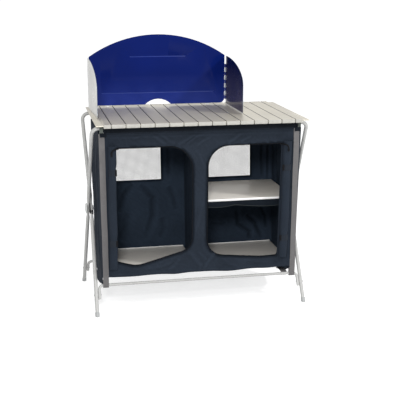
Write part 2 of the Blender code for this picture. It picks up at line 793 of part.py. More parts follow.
def knuckle_section():
    """A hinge knuckle with its root in the sheet: the ring's outline and its bore, about the pin."""
    inner = HINGE_R - SHEET + 0.00005
    outer = HINGE_R - 0.00005
    root = HINGE_EDGE + 0.004
    end = math.degrees(math.asin(inner / HINGE_R))
    start = 180 - math.degrees(math.asin(outer / HINGE_R))
    ring = arc((0, 0), HINGE_R, start, 360 + end, 10)
    return [[(root, outer), *ring, (root, inner)], arc((0, 0), HINGE_PIN_R + GAP, 0, 315, 7)]


def knuckles(name, frame, odd):
    """Every second knuckle of a hinge, as one shape to be joined to its leaf."""
    pitch = (HINGE_HIGH_Z - HINGE_LOW_Z) / HINGE_KNUCKLES
    whole = bmesh.new()
    for index in range(HINGE_KNUCKLES):
        if index % 2 != odd:
            continue
        start = HINGE_LOW_Z + pitch * index + HINGE_SPLIT / 2
        part = solid_of(knuckle_section(), frame, start, start + pitch - HINGE_SPLIT)
        mesh = bpy.data.meshes.new("knuckle")
        part.to_mesh(mesh)
        part.free()
        whole.from_mesh(mesh)
        bpy.data.meshes.remove(mesh)
    return cutter(name, whole)


def crease(name, half, height, low_y):
    """A shallow pressed rib along the back sheet, standing out of its rear face."""
    foot = CREASE_WIDE / 2
    crest = CREASE_WIDE / 6
    outline = [
        (low_y - SHEET / 2, height - foot),
        (low_y, height - foot),
        (low_y + CREASE_DEEP, height - crest),
        (low_y + CREASE_DEEP, height + crest),
        (low_y, height + foot),
        (low_y - SHEET / 2, height + foot),
    ]
    return cutter(name, solid_of([outline], along_x, SCREEN_X - half, SCREEN_X + half))


def swung(pin_x, lean, x, y, z):
    """A point turned about a hinge's upright axis."""
    arm = Vector((x - pin_x, y - SCREEN_Y, z))
    arm.rotate(Matrix.Rotation(math.radians(lean), 3, "Z"))
    return (arm.x + pin_x, arm.y + SCREEN_Y, arm.z)


def windscreen(finishes, screen, wing_axes):
    """The back sheet, the two wings and the hinge pins."""
    face = SCREEN_Y + SHEET_OFFSET
    back = finished(
        "windscreen_back",
        solid_of([screen_outline()], along_y, face - SHEET / 2, face + SHEET / 2),
        finishes["sheet"],
        screen,
    )
    boolean(back, crease("crease_upper", UPPER_CREASE_HALF, UPPER_CREASE_Z, face + SHEET / 2), "UNION")
    boolean(back, crease("crease_lower", LOWER_CREASE_HALF, LOWER_CREASE_Z, face + SHEET / 2), "UNION")
    for name, side, lean in (("left", -1, LEFT_WING_LEAN), ("right", 1, 0)):
        pin_x = SCREEN_X + side * SCREEN_HALF
        leaf = knuckles(f"knuckles_back_{name}", lambda u, v, w: (pin_x - side * u, SCREEN_Y + v, w), 0)
        boolean(back, leaf, "UNION")
        leaf = knuckles(
            f"knuckles_wing_{name}", lambda u, v, w: swung(pin_x, lean, pin_x + side * v, SCREEN_Y - u, w), 1
        )
        plane = pin_x + side * SHEET_OFFSET
        outline = [(SCREEN_Y - reach, height) for reach, height in wing_outline()]
        plate = solid_of(
            [outline], lambda u, v, w: swung(pin_x, lean, w, u, v), plane - SHEET / 2, plane + SHEET / 2
        )
        wing = finished(f"windscreen_wing_{name}", plate, finishes["sheet"], wing_axes[name])
        boolean(wing, leaf, "UNION")
        reach = HINGE_HIGH_Z - HINGE_LOW_Z + 0.004
        pin = [(0, 0), (HINGE_PIN_R, 0), (HINGE_PIN_R, reach), (0, reach)]
        bm = turned(pin, 10, (0, 0, 1), (pin_x, SCREEN_Y, HINGE_LOW_Z - 0.002))
        finished(f"hinge_pin_{name}", bm, finishes["bolt"], screen)


class Wall:
    """The plane of the cabinet's front or rear wall: it hangs from an upper bar and passes the lower one."""

    def __init__(self, sign, bar_y, lower_y):
        self.sign = sign
        self.bar_y = bar_y
        self.top = bar_y + sign * (TUBE_R + GAP)
        self.low = lower_y + sign * (LOWER_BAR_R + GAP)

    def inner(self, height):
        """How far forward or back the wall's inner face is at a height."""
        share = (BAR_Z - height) / (BAR_Z - LOWER_BAR_Z)
        return self.top + (self.low - self.top) * share

    def outer(self, height):
        return self.inner(height) + self.sign * CLOTH

    def lean(self, bm):
        """Tilts a shape made upright against the bar into the wall's plane."""
        for vert in bm.verts:
            vert.co.y += self.inner(vert.co.z) - self.top

    def hem(self):
        """The hem's second ply: round the back of the bar and down to the seam."""
        middle = TUBE_R + GAP + CLOTH / 2
        points = [(middle, HEM_TOP_Z)]
        points += [(y, BAR_Z + z) for y, z in arc((0, 0), middle, 0, -36, 3)]
        points.append((-middle, CABINET_TOP_Z + CLOTH))
        return [(self.bar_y - self.sign * y, z) for y, z in strip(points, CLOTH)]


def rounded_outline(corners, steps):
    """A closed outline through corners (u, v, radius), each rounded by its own radius."""
    outline = []
    for index, (u, v, radius) in enumerate(corners):
        before = Vector(corners[index - 1][:2])
        after = Vector(corners[(index + 1) % len(corners)][:2])
        here = Vector((u, v))
        back = (before - here).normalized()
        forward = (after - here).normalized()
        half = back.angle(forward) / 2
        middle = here + (back + forward).normalized() * radius / math.sin(half)
        first = here + back * radius / math.tan(half) - middle
        last = here + forward * radius / math.tan(half) - middle
        turn = first.angle(last)
        for step in range(steps + 1):
            share = step / steps
            arm = first * math.sin((1 - share) * turn) + last * math.sin(share * turn)
            outline.append(tuple(middle + arm / math.sin(turn)))
    return outline


def door_outline(outer_x, inner_x, top_z, low_z, dip, slant, top_r, low_r):
    """A door opening: small corners on its outer side, wide ones on its inner side, and a lower edge that
    dips near the outer corner and climbs to the inner one."""
    way = 1 if inner_x > outer_x else -1
    corners = [
        (outer_x, low_z + dip, DOOR_CORNER_R),
        (outer_x + way * DOOR_DIP_LONG, low_z, DOOR_DIP_R),
        (inner_x, low_z + slant, low_r),
        (inner_x, top_z, top_r),
        (outer_x, top_z, DOOR_CORNER_R),
    ]
    return rounded_outline(corners, 5)


def window_outline(x0, x1):
    """A window's outline, with small rounded corners."""
    corners = [(x0, NET_LOW_Z), (x1, NET_LOW_Z), (x1, NET_TOP_Z), (x0, NET_TOP_Z)]
    return rounded_outline([(x, z, NET_CORNER_R) for x, z in corners], 2)


def fold_cloth(bm, folds, across, outward):
    """Raises soft folds: each is a ridge along a line in the cloth's plane that fades out at its ends."""
    for vert in bm.verts:
        here = Vector((vert.co.dot(across), vert.co.z))
        rise = 0
        for start, end, height in folds:
            line = Vector(end) - Vector(start)
            share = (here - Vector(start)).dot(line) / line.length_squared
            beside = (here - Vector(start) - line * share).length
            fade = max(0, 1 - (2 * share - 1) ** 4)
            rise = max(rise, height * fade * math.exp(-((beside / FOLD_WIDTH) ** 2)))
        vert.co += outward * rise


def wall_sheet(wall):
    """A front or rear wall as a grid, narrower at the hem, which leaves room for the clips."""
    bm = bmesh.new()
    bmesh.ops.create_grid(bm, x_segments=WALL_ACROSS, y_segments=WALL_UP, size=1)
    shoulder = 1 - 2 / WALL_ACROSS
    tall = CABINET_TOP_Z - CABINET_BOTTOM_Z
    for vert in bm.verts:
        across = vert.co.x
        x = CABINET_HALF * across if abs(across) > (1 + shoulder) / 2 else HEM_HALF * across / shoulder
        vert.co = (x, wall.top, CABINET_BOTTOM_Z + tall * (vert.co.y + 1) / 2)
    seam = [
        edge
        for edge in bm.edges
        if all(end.co.z > CABINET_TOP_Z - GAP and abs(end.co.x) < HEM_HALF + GAP for end in edge.verts)
    ]
    raised = bmesh.ops.extrude_edge_only(bm, edges=seam)["geom"]
    top = [part for part in raised if isinstance(part, bmesh.types.BMVert)]
    bmesh.ops.translate(bm, verts=top, vec=(0, 0, HEM_TOP_Z - CABINET_TOP_Z))
    raised = bmesh.ops.extrude_face_region(bm, geom=bm.faces[:])["geom"]
    moved = [part for part in raised if isinstance(part, bmesh.types.BMVert)]
    bmesh.ops.translate(bm, verts=moved, vec=(0, wall.sign * CLOTH, 0))
    return bm


def hung_wall(name, wall, holes, folds, finish):
    """A front or rear cloth wall with its folds, its openings and its hem round the upper bar."""
    bm = wall_sheet(wall)
    wall.lean(bm)
    fold_cloth(bm, folds, Vector((1, 0, 0)), Vector((0, wall.sign, 0)))
    made = finished(name, bm, finish)
    deep = 2 * (REAR_BAR[1] - FRONT_BAR[1])
    for index, hole in enumerate(holes):
        reach = sorted((0, wall.sign * deep))
        boolean(made, cutter(f"opening_{name}_{index + 1}", solid_of([hole], along_y, *reach)), "DIFFERENCE")
    hem = solid_of([wall.hem()], along_x, GAP - HEM_HALF, HEM_HALF - GAP)
    boolean(made, cutter(f"hem_{name}", hem), "UNION")
    return made


def net_window(name, wall, x0, x1, finish):
    """A flat net that fills a window: a lattice of square meshes inside a border."""
    bm = bmesh.new()
    low, high = NET_LOW_Z + GAP, NET_TOP_Z - GAP
    bmesh.ops.create_grid(bm, x_segments=NET_ACROSS, y_segments=NET_UP, size=0.5)
    width, height = x1 - x0 - 2 * GAP, high - low
    bmesh.ops.transform(
        bm,
        matrix=Matrix.Translation(((x0 + x1) / 2, 0, (low + high) / 2))
        @ Matrix.Rotation(math.pi / 2, 4, "X")
        @ Matrix.Diagonal((width, height, 1, 1)),
        verts=bm.verts[:],
    )
    inset = bmesh.ops.inset_individual(bm, faces=bm.faces[:], thickness=NET_STRAND / 2, use_even_offset=True)
    rim = set(inset["faces"])
    bmesh.ops.delete(bm, geom=[face for face in bm.faces if face not in rim], context="FACES")
    for vert in bm.verts:
        corner = Vector((vert.co.x - (x0 + x1) / 2, vert.co.z - (low + high) / 2))
        over = abs(corner.x) / (width / 2) + abs(corner.y) / (height / 2) - 2 + 1e-6
        if over > 0:
            vert.co.x -= math.copysign(NET_CORNER_CUT, corner.x)
            vert.co.z -= math.copysign(NET_CORNER_CUT, corner.y)
    raised = bmesh.ops.extrude_face_region(bm, geom=bm.faces[:])["geom"]
    moved = [part for part in raised if isinstance(part, bmesh.types.BMVert)]
    bmesh.ops.translate(bm, verts=moved, vec=(0, NET_THICK, 0))
    bmesh.ops.translate(bm, verts=bm.verts[:], vec=(0, wall.top + wall.sign * (CLOTH - NET_THICK) / 2, 0))
    wall.lean(bm)
    finished(name, bm, finish)


def rule(bm, direction, start, end, spacing):
    """Cuts a shape across at even steps, so that it can bend there."""
    steps = math.ceil((end - start) / spacing)
    for step in range(1, steps):
        at = Vector(direction) * (start + (end - start) * step / steps)
        whole = bm.verts[:] + bm.edges[:] + bm.faces[:]
        bmesh.ops.bisect_plane(bm, geom=whole, plane_co=at, plane_no=direction)


def side_wall(name, side, front, rear, finish):
    """A side wall: its lower edge drops towards the middle and its rear corner is cut away."""
    top = CABINET_TOP_Z
    front_low = CABINET_BOTTOM_Z - SIDE_FRONT_DROP
    sag = CABINET_BOTTOM_Z - SIDE_SAG_DROP
    sag_end = REAR_BAR[1] - SIDE_SAG_INSET
    sag_start = sag_end - SIDE_SAG_LONG
    rear_low = CABINET_BOTTOM_Z + SIDE_REAR_RISE
    outline = [
        (front.inner(top), top),
        (front.inner(front_low), front_low),
        (sag_start - SIDE_SLOPE_LONG, sag + SIDE_SLOPE_RISE),
        (sag_start, sag),
        (sag_end, sag),
        (sag_end + SIDE_CORNER_LONG, sag + SIDE_CORNER_TALL),
        (rear.inner(rear_low), rear_low),
        (rear.inner(top), top),
    ]
    start = side * (CABINET_HALF + GAP)
    bm = solid_of([outline], along_x, start, start + side * CLOTH)
    rule(bm, (0, 1, 0), front.inner(top), rear.inner(top), SIDE_RULING)
    rule(bm, (0, 0, 1), sag, top, 2 * SIDE_RULING)
    fold_cloth(bm, SIDE_FOLDS, Vector((0, 1, 0)), Vector((side, 0, 0)))
    finished(name, bm, finish)


def cabinet_cloth(front, rear, finishes):
    """Walls, divider, floor, net windows and the sling below the shelf board."""
    doors = [
        door_outline(
            LEFT_DOOR_OUT,
            LEFT_DOOR_IN,
            LEFT_DOOR_TOP,
            LEFT_DOOR_LOW,
            LEFT_DOOR_DIP,
            LEFT_DOOR_SLANT,
            LEFT_DOOR_TOP_R,
            LEFT_DOOR_LOW_R,
        ),
        door_outline(
            RIGHT_DOOR_OUT,
            RIGHT_DOOR_IN,
            RIGHT_DOOR_TOP,
            RIGHT_DOOR_LOW,
            RIGHT_DOOR_DIP,
            RIGHT_DOOR_SLANT,
            RIGHT_DOOR_TOP_R,
            RIGHT_DOOR_LOW_R,
        ),
    ]
    hung_wall("front_panel", front, doors, FRONT_FOLDS, finishes["cloth"])
    windows = [window_outline(LEFT_NET_OUT, LEFT_NET_IN), window_outline(RIGHT_NET_IN, RIGHT_NET_OUT)]
    hung_wall("back_wall", rear, windows, BACK_FOLDS, finishes["lining"])
    net_window("window_net_left", rear, LEFT_NET_OUT, LEFT_NET_IN, finishes["net"])
    net_window("window_net_right", rear, RIGHT_NET_IN, RIGHT_NET_OUT, finishes["net"])
    side_wall("side_wall_left", -1, front, rear, finishes["cloth"])
    side_wall("side_wall_right", 1, front, rear, finishes["cloth"])
    top = CABINET_TOP_Z - CLOTH
    low = FLOOR_Z + GAP
    outline = [
        (front.inner(top) + GAP, top),
        (front.inner(low) + GAP, low),
        (rear.inner(low) - GAP, low),
        (rear.inner(top) - GAP, top),
    ]
    finished("centre_divider", solid_of([outline], along_x, -CLOTH / 2, CLOTH / 2), finishes["lining"])
    low = FLOOR_Z - CLOTH
    corner_low = (-CABINET_HALF, front.inner(low) + GAP, low)
    corner_high = (CABINET_HALF, rear.inner(low) - GAP, FLOOR_Z)
    finished("cabinet_floor", box(corner_low, corner_high), finishes["lining"])


def shelf_sling(finish):
    """The cloth tray that carries the shelf board; the hem below its front edge hangs in a curve."""
    top = SHELF_Z - SHELF_BOARD_THICK - GAP
    points = [
        (BOARD_FRONT_Y - SLING_MARGIN, top - SLING_HEM),
        (BOARD_FRONT_Y - SLING_MARGIN, top - CLOTH / 2),
        (BOARD_REAR_Y + SLING_MARGIN, top - CLOTH / 2),
    ]
    start = CLOTH / 2 + GAP
    bm = solid_of([strip(points, CLOTH)], along_x, start, CABINET_HALF)
    rule(bm, (1, 0, 0), start, CABINET_HALF, SLING_RULING)
    for vert in bm.verts:
        if vert.co.z < top - 2 * CLOTH:
            share = (vert.co.x - start) / (CABINET_HALF - start)
            vert.co.z -= SLING_SAG * (1 - (2 * share - 1) ** 2)
    finished("shelf_sling", bm, finish)


def boards(finishes):
    """Two floor boards and the shelf board of the right-hand side."""
    inner = CLOTH / 2 + BOARD_SIDE
    outer = CABINET_HALF - BOARD_SIDE
    low = FLOOR_Z + GAP
    for name, side in (("left", -1), ("right", 1)):
        x0, x1 = sorted((side * inner, side * outer))
        bm = box((x0, BOARD_FRONT_Y, low), (x1, BOARD_REAR_Y, low + BOARD_THICK))
        finished(f"floor_board_{name}", bm, finishes["board"])
    low = SHELF_Z - SHELF_BOARD_THICK
    bm = box((inner, BOARD_FRONT_Y, low), (outer, BOARD_REAR_Y, SHELF_Z))
    finished("shelf_board", bm, finishes["board"])


def webbing(name, points, middle_x, width, finish):
    """A strap that follows points (y, z), with its width across the cabinet."""
    bm = solid_of([strip(points, STRAP_THICK)], along_x, middle_x - width / 2, middle_x + width / 2)
    finished(name, bm, finish)


def rolled_door(name, wall, middle_x, half, top_z, low_z, finish):
    """A rolled-up door flap, drawn in at its two ties, hanging against the front panel."""
    points = []
    steps = 20
    for step in range(steps + 1):
        share = step / steps
        pinch = max(math.exp(-(((share - tie) / ROLL_TIE_LONG) ** 2)) for tie in ROLL_TIES)
        end = min(1, ROLL_END + (1 - ROLL_END) * min(share, 1 - share) * steps)
        height = top_z + ROLL_OVERHANG - share * (top_z - low_z + 2 * ROLL_OVERHANG)
        points.append((0, 0, height, end * (1 - (1 - ROLL_WAIST) * pinch)))
    bm = tube(points, half, 12)
    deep = half * ROLL_FLATNESS
    for vert in bm.verts:
        away = GAP + deep - vert.co.y / half * deep * -wall.sign
        vert.co.x += middle_x
        vert.co.y = wall.outer(vert.co.z) + wall.sign * away
    finished(name, bm, finish)


def corner_strap(name, side, front, lower_y, finish):
    """Webbing from the hem down the front corner and round the front lower bar."""
    out = STRAP_THICK / 2 + GAP
    ring = LOWER_BAR_R + GAP + STRAP_THICK / 2
    points = [
        (front.outer(CABINET_TOP_Z) - out, CABINET_TOP_Z),
        (front.outer(CABINET_BOTTOM_Z) - out, CABINET_BOTTOM_Z),
    ]
    points.append((lower_y - ring, LOWER_BAR_Z))
    points += arc((lower_y, LOWER_BAR_Z - STRAP_DROOP), ring, 180, 360, 9)
    points.append((lower_y + ring, LOWER_BAR_Z + STRAP_TAIL))
    webbing(name, points, side * (CABINET_HALF - CORNER_STRAP_MARGIN), CORNER_STRAP_WIDTH, finish)


def floor_strap(name, front_y, rear_y, finish):
    """Webbing under the cabinet: a flap behind the front lower bar, and the far end turned round the rear one."""
    ring = LOWER_BAR_R + GAP + STRAP_THICK / 2
    points = [(front_y + ring, LOWER_BAR_Z - STRAP_FLAP), (front_y + ring, LOWER_BAR_Z)]
    points.append((front_y + ring + STRAP_FLAP / 2, LOWER_BAR_Z + ring))
    points += arc((rear_y, LOWER_BAR_Z), ring, 90, -90, 9)
    points.append((rear_y - STRAP_TAIL, LOWER_BAR_Z - ring))
    webbing(name, points, CABINET_HALF - FLOOR_STRAP_MARGIN, FLOOR_STRAP_WIDTH, finish)


def main():
    for thing in list(bpy.data.objects):
        bpy.data.objects.remove(thing)
    finishes = {
        "tube": material("painted_tube", (0.72, 0.73, 0.72), 0.38, 0.2),
        "bolt": material("bright_steel", (0.70, 0.70, 0.70), 0.30, 0.9),
        "black": material("black_plastic", (0.02, 0.02, 0.022), 0.45),
        "cap": material("pale_plastic", (0.62, 0.63, 0.62), 0.40),
        "clip": material("grey_plastic", (0.24, 0.27, 0.25), 0.50),
        "foot": material("foot_plastic", (0.45, 0.46, 0.46), 0.55),
        "slat": material("slat_enamel", (0.56, 0.55, 0.51), 0.42),
        "sheet": material("blue_sheet", (0.010, 0.020, 0.140), 0.25, 0.3),
        "cloth": material("outer_cloth", (0.033, 0.040, 0.058), 0.90),
        "lining": material("inner_cloth", (0.012, 0.018, 0.028), 0.92),
        "net": material("window_net", (0.40, 0.42, 0.43), 0.85),
        "board": material("grey_board", (0.44, 0.43, 0.40), 0.60),
        "webbing": material("grey_webbing", (0.19, 0.19, 0.20), 0.88),
    }
    fold = axis_empty("frame_fold_axis", (0, 0, PIVOT_Z))
    table = axis_empty("table_lift_axis", (0, 0, TOP_HEIGHT))
    screen = axis_empty("windscreen_lift_axis", (SCREEN_X, SCREEN_Y, TABLE_TOP_Z), table)
    wings = {
        name: axis_empty(f"wing_{name}_axis", (SCREEN_X + side * SCREEN_HALF, SCREEN_Y, TABLE_TOP_Z), screen)
        for name, side in (("left", -1), ("right", 1))
    }

    front_top = legs_of(FRONT_BAR, OUTER_PIVOT_X, REAR_FOOT)
    rear_top = legs_of(REAR_BAR, PIVOT_X, FRONT_FOOT)
    pivots = pivot_cutters()
    drills = {}
    for place, legs in (("rear", front_top), ("front", rear_top)):
        for name, leg in zip(("left", "right"), legs):
            drills[place, name] = rivet_cutter(f"rivet_{place}_{name}", leg)
    rear_drills = [drills["rear", "left"], drills["rear", "right"]]
    front_drills = [drills["front", "left"], drills["front", "right"]]
    frame_tube("frame_front_top", front_top, finishes["tube"], pivots + rear_drills)
    frame_tube("frame_rear_top", rear_top, finishes["tube"], pivots + front_drills, fold)
    lower_bar("lower_bar_rear", front_top, finishes["tube"], rear_drills)
    lower_bar("lower_bar_front", rear_top, finishes["tube"], front_drills, fold)
    for name, behind, ahead in zip(("left", "right"), front_top, rear_top):
        foot_cap(f"foot_rear_{name}", behind, finishes["foot"])
        foot_cap(f"foot_front_{name}", ahead, finishes["foot"], fold)
        rivet(f"rivet_rear_{name}", behind, finishes["bolt"])
        rivet(f"rivet_front_{name}", ahead, finishes["bolt"], fold)
    pivot_hardware(finishes)

    slats(finishes["slat"], table)
    table_clips(finishes["clip"], table)
    windscreen(finishes, screen, wings)

    front_lower_y = rear_top[0].at_height(LOWER_BAR_Z).y
    rear_lower_y = front_top[0].at_height(LOWER_BAR_Z).y
    front = Wall(-1, FRONT_BAR[1], front_lower_y)
    rear = Wall(1, REAR_BAR[1], rear_lower_y)
    cabinet_cloth(front, rear, finishes)
    shelf_sling(finishes["lining"])
    boards(finishes)
    left_x = LEFT_ROLL_MARGIN - CABINET_HALF
    right_x = CABINET_HALF - RIGHT_ROLL_MARGIN
    cloth = finishes["cloth"]
    rolled_door("rolled_door_left", front, left_x, LEFT_ROLL_HALF, LEFT_DOOR_TOP, LEFT_DOOR_LOW, cloth)
    rolled_door("rolled_door_right", front, right_x, RIGHT_ROLL_HALF, RIGHT_DOOR_TOP, RIGHT_DOOR_LOW, cloth)
    for name, side in (("left", -1), ("right", 1)):
        corner_strap(f"corner_strap_{name}", side, front, front_lower_y, finishes["webbing"])
    floor_strap("floor_strap", front_lower_y, rear_lower_y, finishes["webbing"])


if __name__ == "__main__":
    main()
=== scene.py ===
"""The looks of a folding camping cupboard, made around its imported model: cloth cabinet, tube frames, slatted
top and sheet-metal windscreen. Metres, +Z up, +Y to the rear; the origin is on the floor under the top."""

import math

import bmesh
import bpy
from bpy.props import FloatProperty, FloatVectorProperty, IntProperty, PointerProperty
from mathutils import Matrix, Vector, noise


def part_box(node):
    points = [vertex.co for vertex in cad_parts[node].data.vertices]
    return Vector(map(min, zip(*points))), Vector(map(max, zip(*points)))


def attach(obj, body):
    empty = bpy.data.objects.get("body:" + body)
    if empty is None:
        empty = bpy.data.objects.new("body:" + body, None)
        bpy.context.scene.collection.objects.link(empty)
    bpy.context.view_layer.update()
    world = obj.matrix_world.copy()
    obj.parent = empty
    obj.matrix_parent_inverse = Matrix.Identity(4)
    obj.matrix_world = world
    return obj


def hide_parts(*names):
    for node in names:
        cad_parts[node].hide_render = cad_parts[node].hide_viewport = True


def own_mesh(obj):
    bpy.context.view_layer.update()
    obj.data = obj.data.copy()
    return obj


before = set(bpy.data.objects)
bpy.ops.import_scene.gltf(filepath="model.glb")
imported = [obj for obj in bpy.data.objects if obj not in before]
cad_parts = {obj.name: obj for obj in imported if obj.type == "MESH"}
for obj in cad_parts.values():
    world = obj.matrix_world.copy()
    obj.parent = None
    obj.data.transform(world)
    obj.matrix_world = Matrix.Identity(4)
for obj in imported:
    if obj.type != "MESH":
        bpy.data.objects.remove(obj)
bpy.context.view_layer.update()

bl_info = {
    "name": "Folding camping cupboard",
    "version": (1, 0, 0),
    "blender": (4, 5, 0),
    "location": "3D View > Sidebar > Cupboard",
    "description": "Dresses the packed model of a folding camping cupboard",
    "category": "Add Mesh",
}

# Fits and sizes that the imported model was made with, and clearances that follow from them
GAP = 0.0003
TUBE_R = 0.008
LOWER_BAR_R = 0.006
CLOTH = 0.0018
STRAP_OFF = GAP + 0.00085
ROLL_OFF = CLOTH + GAP + 0.0006

# Thicknesses of what is added here, and half the width of a thread
TAPE_THICK = 0.0007
STRAP_THICK = 0.0013
ROLL_THICK = 0.0008
THREAD_HALF = 0.00045

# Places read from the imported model
FRONT_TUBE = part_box("frame_front_top")
REAR_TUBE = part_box("frame_rear_top")
BAR_Z = FRONT_TUBE[1][2] - TUBE_R
FRONT_BAR_Y = FRONT_TUBE[0][1] + TUBE_R
REAR_BAR_Y = REAR_TUBE[1][1] - TUBE_R
LOWER_BAR_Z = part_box("lower_bar_front")[1][2] - LOWER_BAR_R
FRONT_LOWER_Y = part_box("lower_bar_front")[1][1] - LOWER_BAR_R
REAR_LOWER_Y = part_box("lower_bar_rear")[0][1] + LOWER_BAR_R
CABINET_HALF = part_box("front_panel")[1][0]
CABINET_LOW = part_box("front_panel")[0][2]
HEM_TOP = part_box("front_panel")[1][2]
HEM_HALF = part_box("table_clip_front_right")[0][0] - 0.0008
HEM_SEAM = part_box("side_wall_left")[1][2]
HEM_BAND_HALF = 0.4040
HEM_TURN = 0.035
SEAM_HALF = 0.4020
STRAP_X = 0.4050
SLAT_COUNT = 15
SLAT_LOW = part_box("slat_02")[0][2]
SLAT_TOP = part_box("slat_02")[1][2]
SLAT_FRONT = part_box("slat_02")[0][1]
SLAT_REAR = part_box("slat_02")[1][1]
SCREEN_FOOT = SLAT_TOP + 0.0070
SCREEN_FACE_Y = (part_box("hinge_pin_left")[0][1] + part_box("hinge_pin_left")[1][1]) / 2 + 0.0015

# Door openings in the front panel: corners (across, height, radius)
LEFT_DOOR = (
    (-0.356, 0.221, 0.012),
    (-0.276, 0.195, 0.120),
    (-0.040, 0.261, 0.060),
    (-0.040, 0.703, 0.100),
    (-0.356, 0.703, 0.012),
)
RIGHT_DOOR = (
    (0.337, 0.208, 0.012),
    (0.257, 0.206, 0.120),
    (0.028, 0.228, 0.075),
    (0.028, 0.700, 0.085),
    (0.337, 0.700, 0.012),
)

# Ribs across the windscreen (height, half length), routes of the zips' ends (across, height, off the panel),
# and where the rolled doors are tied
SCREEN_RIBS = ((1.0314, 0.124), (0.872, 0.2525))
ZIP_PULLS = (
    ((-0.346, 0.7040, 0.003), (-0.354, 0.7050, 0.015), (-0.362, 0.7040, 0.024), (-0.370, 0.7010, 0.027),
     (-0.3745, 0.6950, 0.027), (-0.3755, 0.6880, 0.026)),
    ((0.330, 0.7010, 0.003), (0.339, 0.7020, 0.015), (0.348, 0.7010, 0.027), (0.355, 0.6980, 0.031),
     (0.359, 0.6920, 0.031), (0.3600, 0.6840, 0.030)),
)
TIE_HEIGHTS = {"left": (0.606, 0.303), "right": (0.600, 0.288)}
TIE_TALL = 0.026

# Folds of the cloth: a route of (across, height) points, how far it stands out, and half its width
FRONT_FOLDS = (
    (((-0.206, 0.768), (-0.186, 0.740), (-0.150, 0.712)), 0.0035, 0.0089),
    (((-0.290, 0.742), (-0.250, 0.757), (-0.215, 0.756)), 0.0020, 0.0066),
    (((-0.165, 0.756), (-0.140, 0.730), (-0.112, 0.716)), 0.0022, 0.0077),
    (((-0.104, 0.712), (-0.066, 0.733), (-0.018, 0.757)), 0.0038, 0.0101),
    (((-0.070, 0.712), (-0.030, 0.742), (0.014, 0.762)), 0.0032, 0.0089),
    (((-0.030, 0.700), (0.004, 0.726), (0.040, 0.742)), 0.0020, 0.0071),
    (((0.104, 0.712), (0.132, 0.728), (0.172, 0.758)), 0.0042, 0.0095),
    (((0.160, 0.716), (0.180, 0.726), (0.208, 0.738)), 0.0020, 0.0066),
    (((-0.022, 0.690), (-0.004, 0.650), (0.010, 0.600)), 0.0017, 0.0095),
    (((0.006, 0.470), (-0.006, 0.400), (-0.022, 0.330)), 0.0014, 0.0095),
    (((-0.052, 0.250), (-0.020, 0.205), (0.010, 0.166)), 0.0032, 0.0111),
    (((-0.014, 0.246), (0.010, 0.220), (0.034, 0.192)), 0.0022, 0.0085),
    (((0.062, 0.232), (0.036, 0.200), (0.010, 0.160)), 0.0032, 0.0105),
    (((-0.084, 0.226), (-0.108, 0.192), (-0.142, 0.164)), 0.0025, 0.0105),
    (((-0.115, 0.205), (-0.170, 0.186), (-0.240, 0.180)), 0.0018, 0.0085),
    (((0.088, 0.208), (0.120, 0.188), (0.162, 0.166)), 0.0017, 0.0085),
    (((0.170, 0.192), (0.235, 0.186), (0.300, 0.174)), 0.0012, 0.0078),
)
BACK_FOLDS = (
    (((-0.238, 0.462), (-0.282, 0.410), (-0.306, 0.330)), 0.0116, 0.0150),
    (((-0.206, 0.458), (-0.150, 0.392), (-0.150, 0.310), (-0.186, 0.200)), 0.0128, 0.0150),
    (((-0.075, 0.445), (-0.052, 0.390), (-0.040, 0.330)), 0.0070, 0.0137),
    (((-0.262, 0.330), (-0.280, 0.270), (-0.300, 0.200)), 0.0058, 0.0175),
    (((-0.110, 0.300), (-0.100, 0.250), (-0.120, 0.200)), 0.0058, 0.0150),
    (((0.244, 0.328), (0.256, 0.246), (0.308, 0.205), (0.315, 0.168)), 0.0139, 0.0125),
    (((0.292, 0.290), (0.339, 0.246), (0.371, 0.168)), 0.0139, 0.0119),
    (((0.363, 0.328), (0.387, 0.278), (0.392, 0.220)), 0.0081, 0.0100),
    (((0.120, 0.262), (0.160, 0.250), (0.200, 0.255)), 0.0046, 0.0100),
    (((0.374, 0.690), (0.369, 0.580), (0.372, 0.460)), 0.0081, 0.0100),
    (((0.398, 0.690), (0.400, 0.580), (0.397, 0.450)), 0.0070, 0.0075),
    (((-0.080, 0.690), (-0.070, 0.600), (-0.074, 0.470)), 0.0070, 0.0125),
)
SIDE_FOLDS = (
    (((-0.110, 0.740), (-0.100, 0.520), (-0.095, 0.330)), 0.0060, 0.0140),
    (((0.030, 0.730), (0.040, 0.450), (0.045, 0.180)), 0.0050, 0.0160),
    (((0.150, 0.740), (0.138, 0.580), (0.130, 0.420)), 0.0060, 0.0150),
    (((-0.060, 0.400), (-0.090, 0.300), (-0.130, 0.200)), 0.0050, 0.0120),
)

# Where the front panel's lower edge hangs lower: (across, depth, half width)
FRONT_DIPS = (
    (-0.300, 0.0025, 0.060),
    (-0.110, 0.0035, 0.040),
    (0.130, 0.0055, 0.060),
    (0.290, 0.0025, 0.040),
)

# Camera, worked out from the photograph's own perspective
CAMERA_AT = (-0.7158, -3.5984, 1.3688)
CAMERA_YAW = 11.567
CAMERA_PITCH = 14.472
CAMERA_ROLL = 0.136
CAMERA_LENS = 77.398
CAMERA_SHIFT = (0.0075, -0.000375)


def measure(name, text, default, **limits):
    """A length that a user may change, in metres."""
    return FloatProperty(name=name, description=text, default=default, unit="LENGTH", **limits)


def tint(name, text, default):
    """A colour that a user may change, as linear values."""
    return FloatVectorProperty(name=name, description=text, default=default, subtype="COLOR")


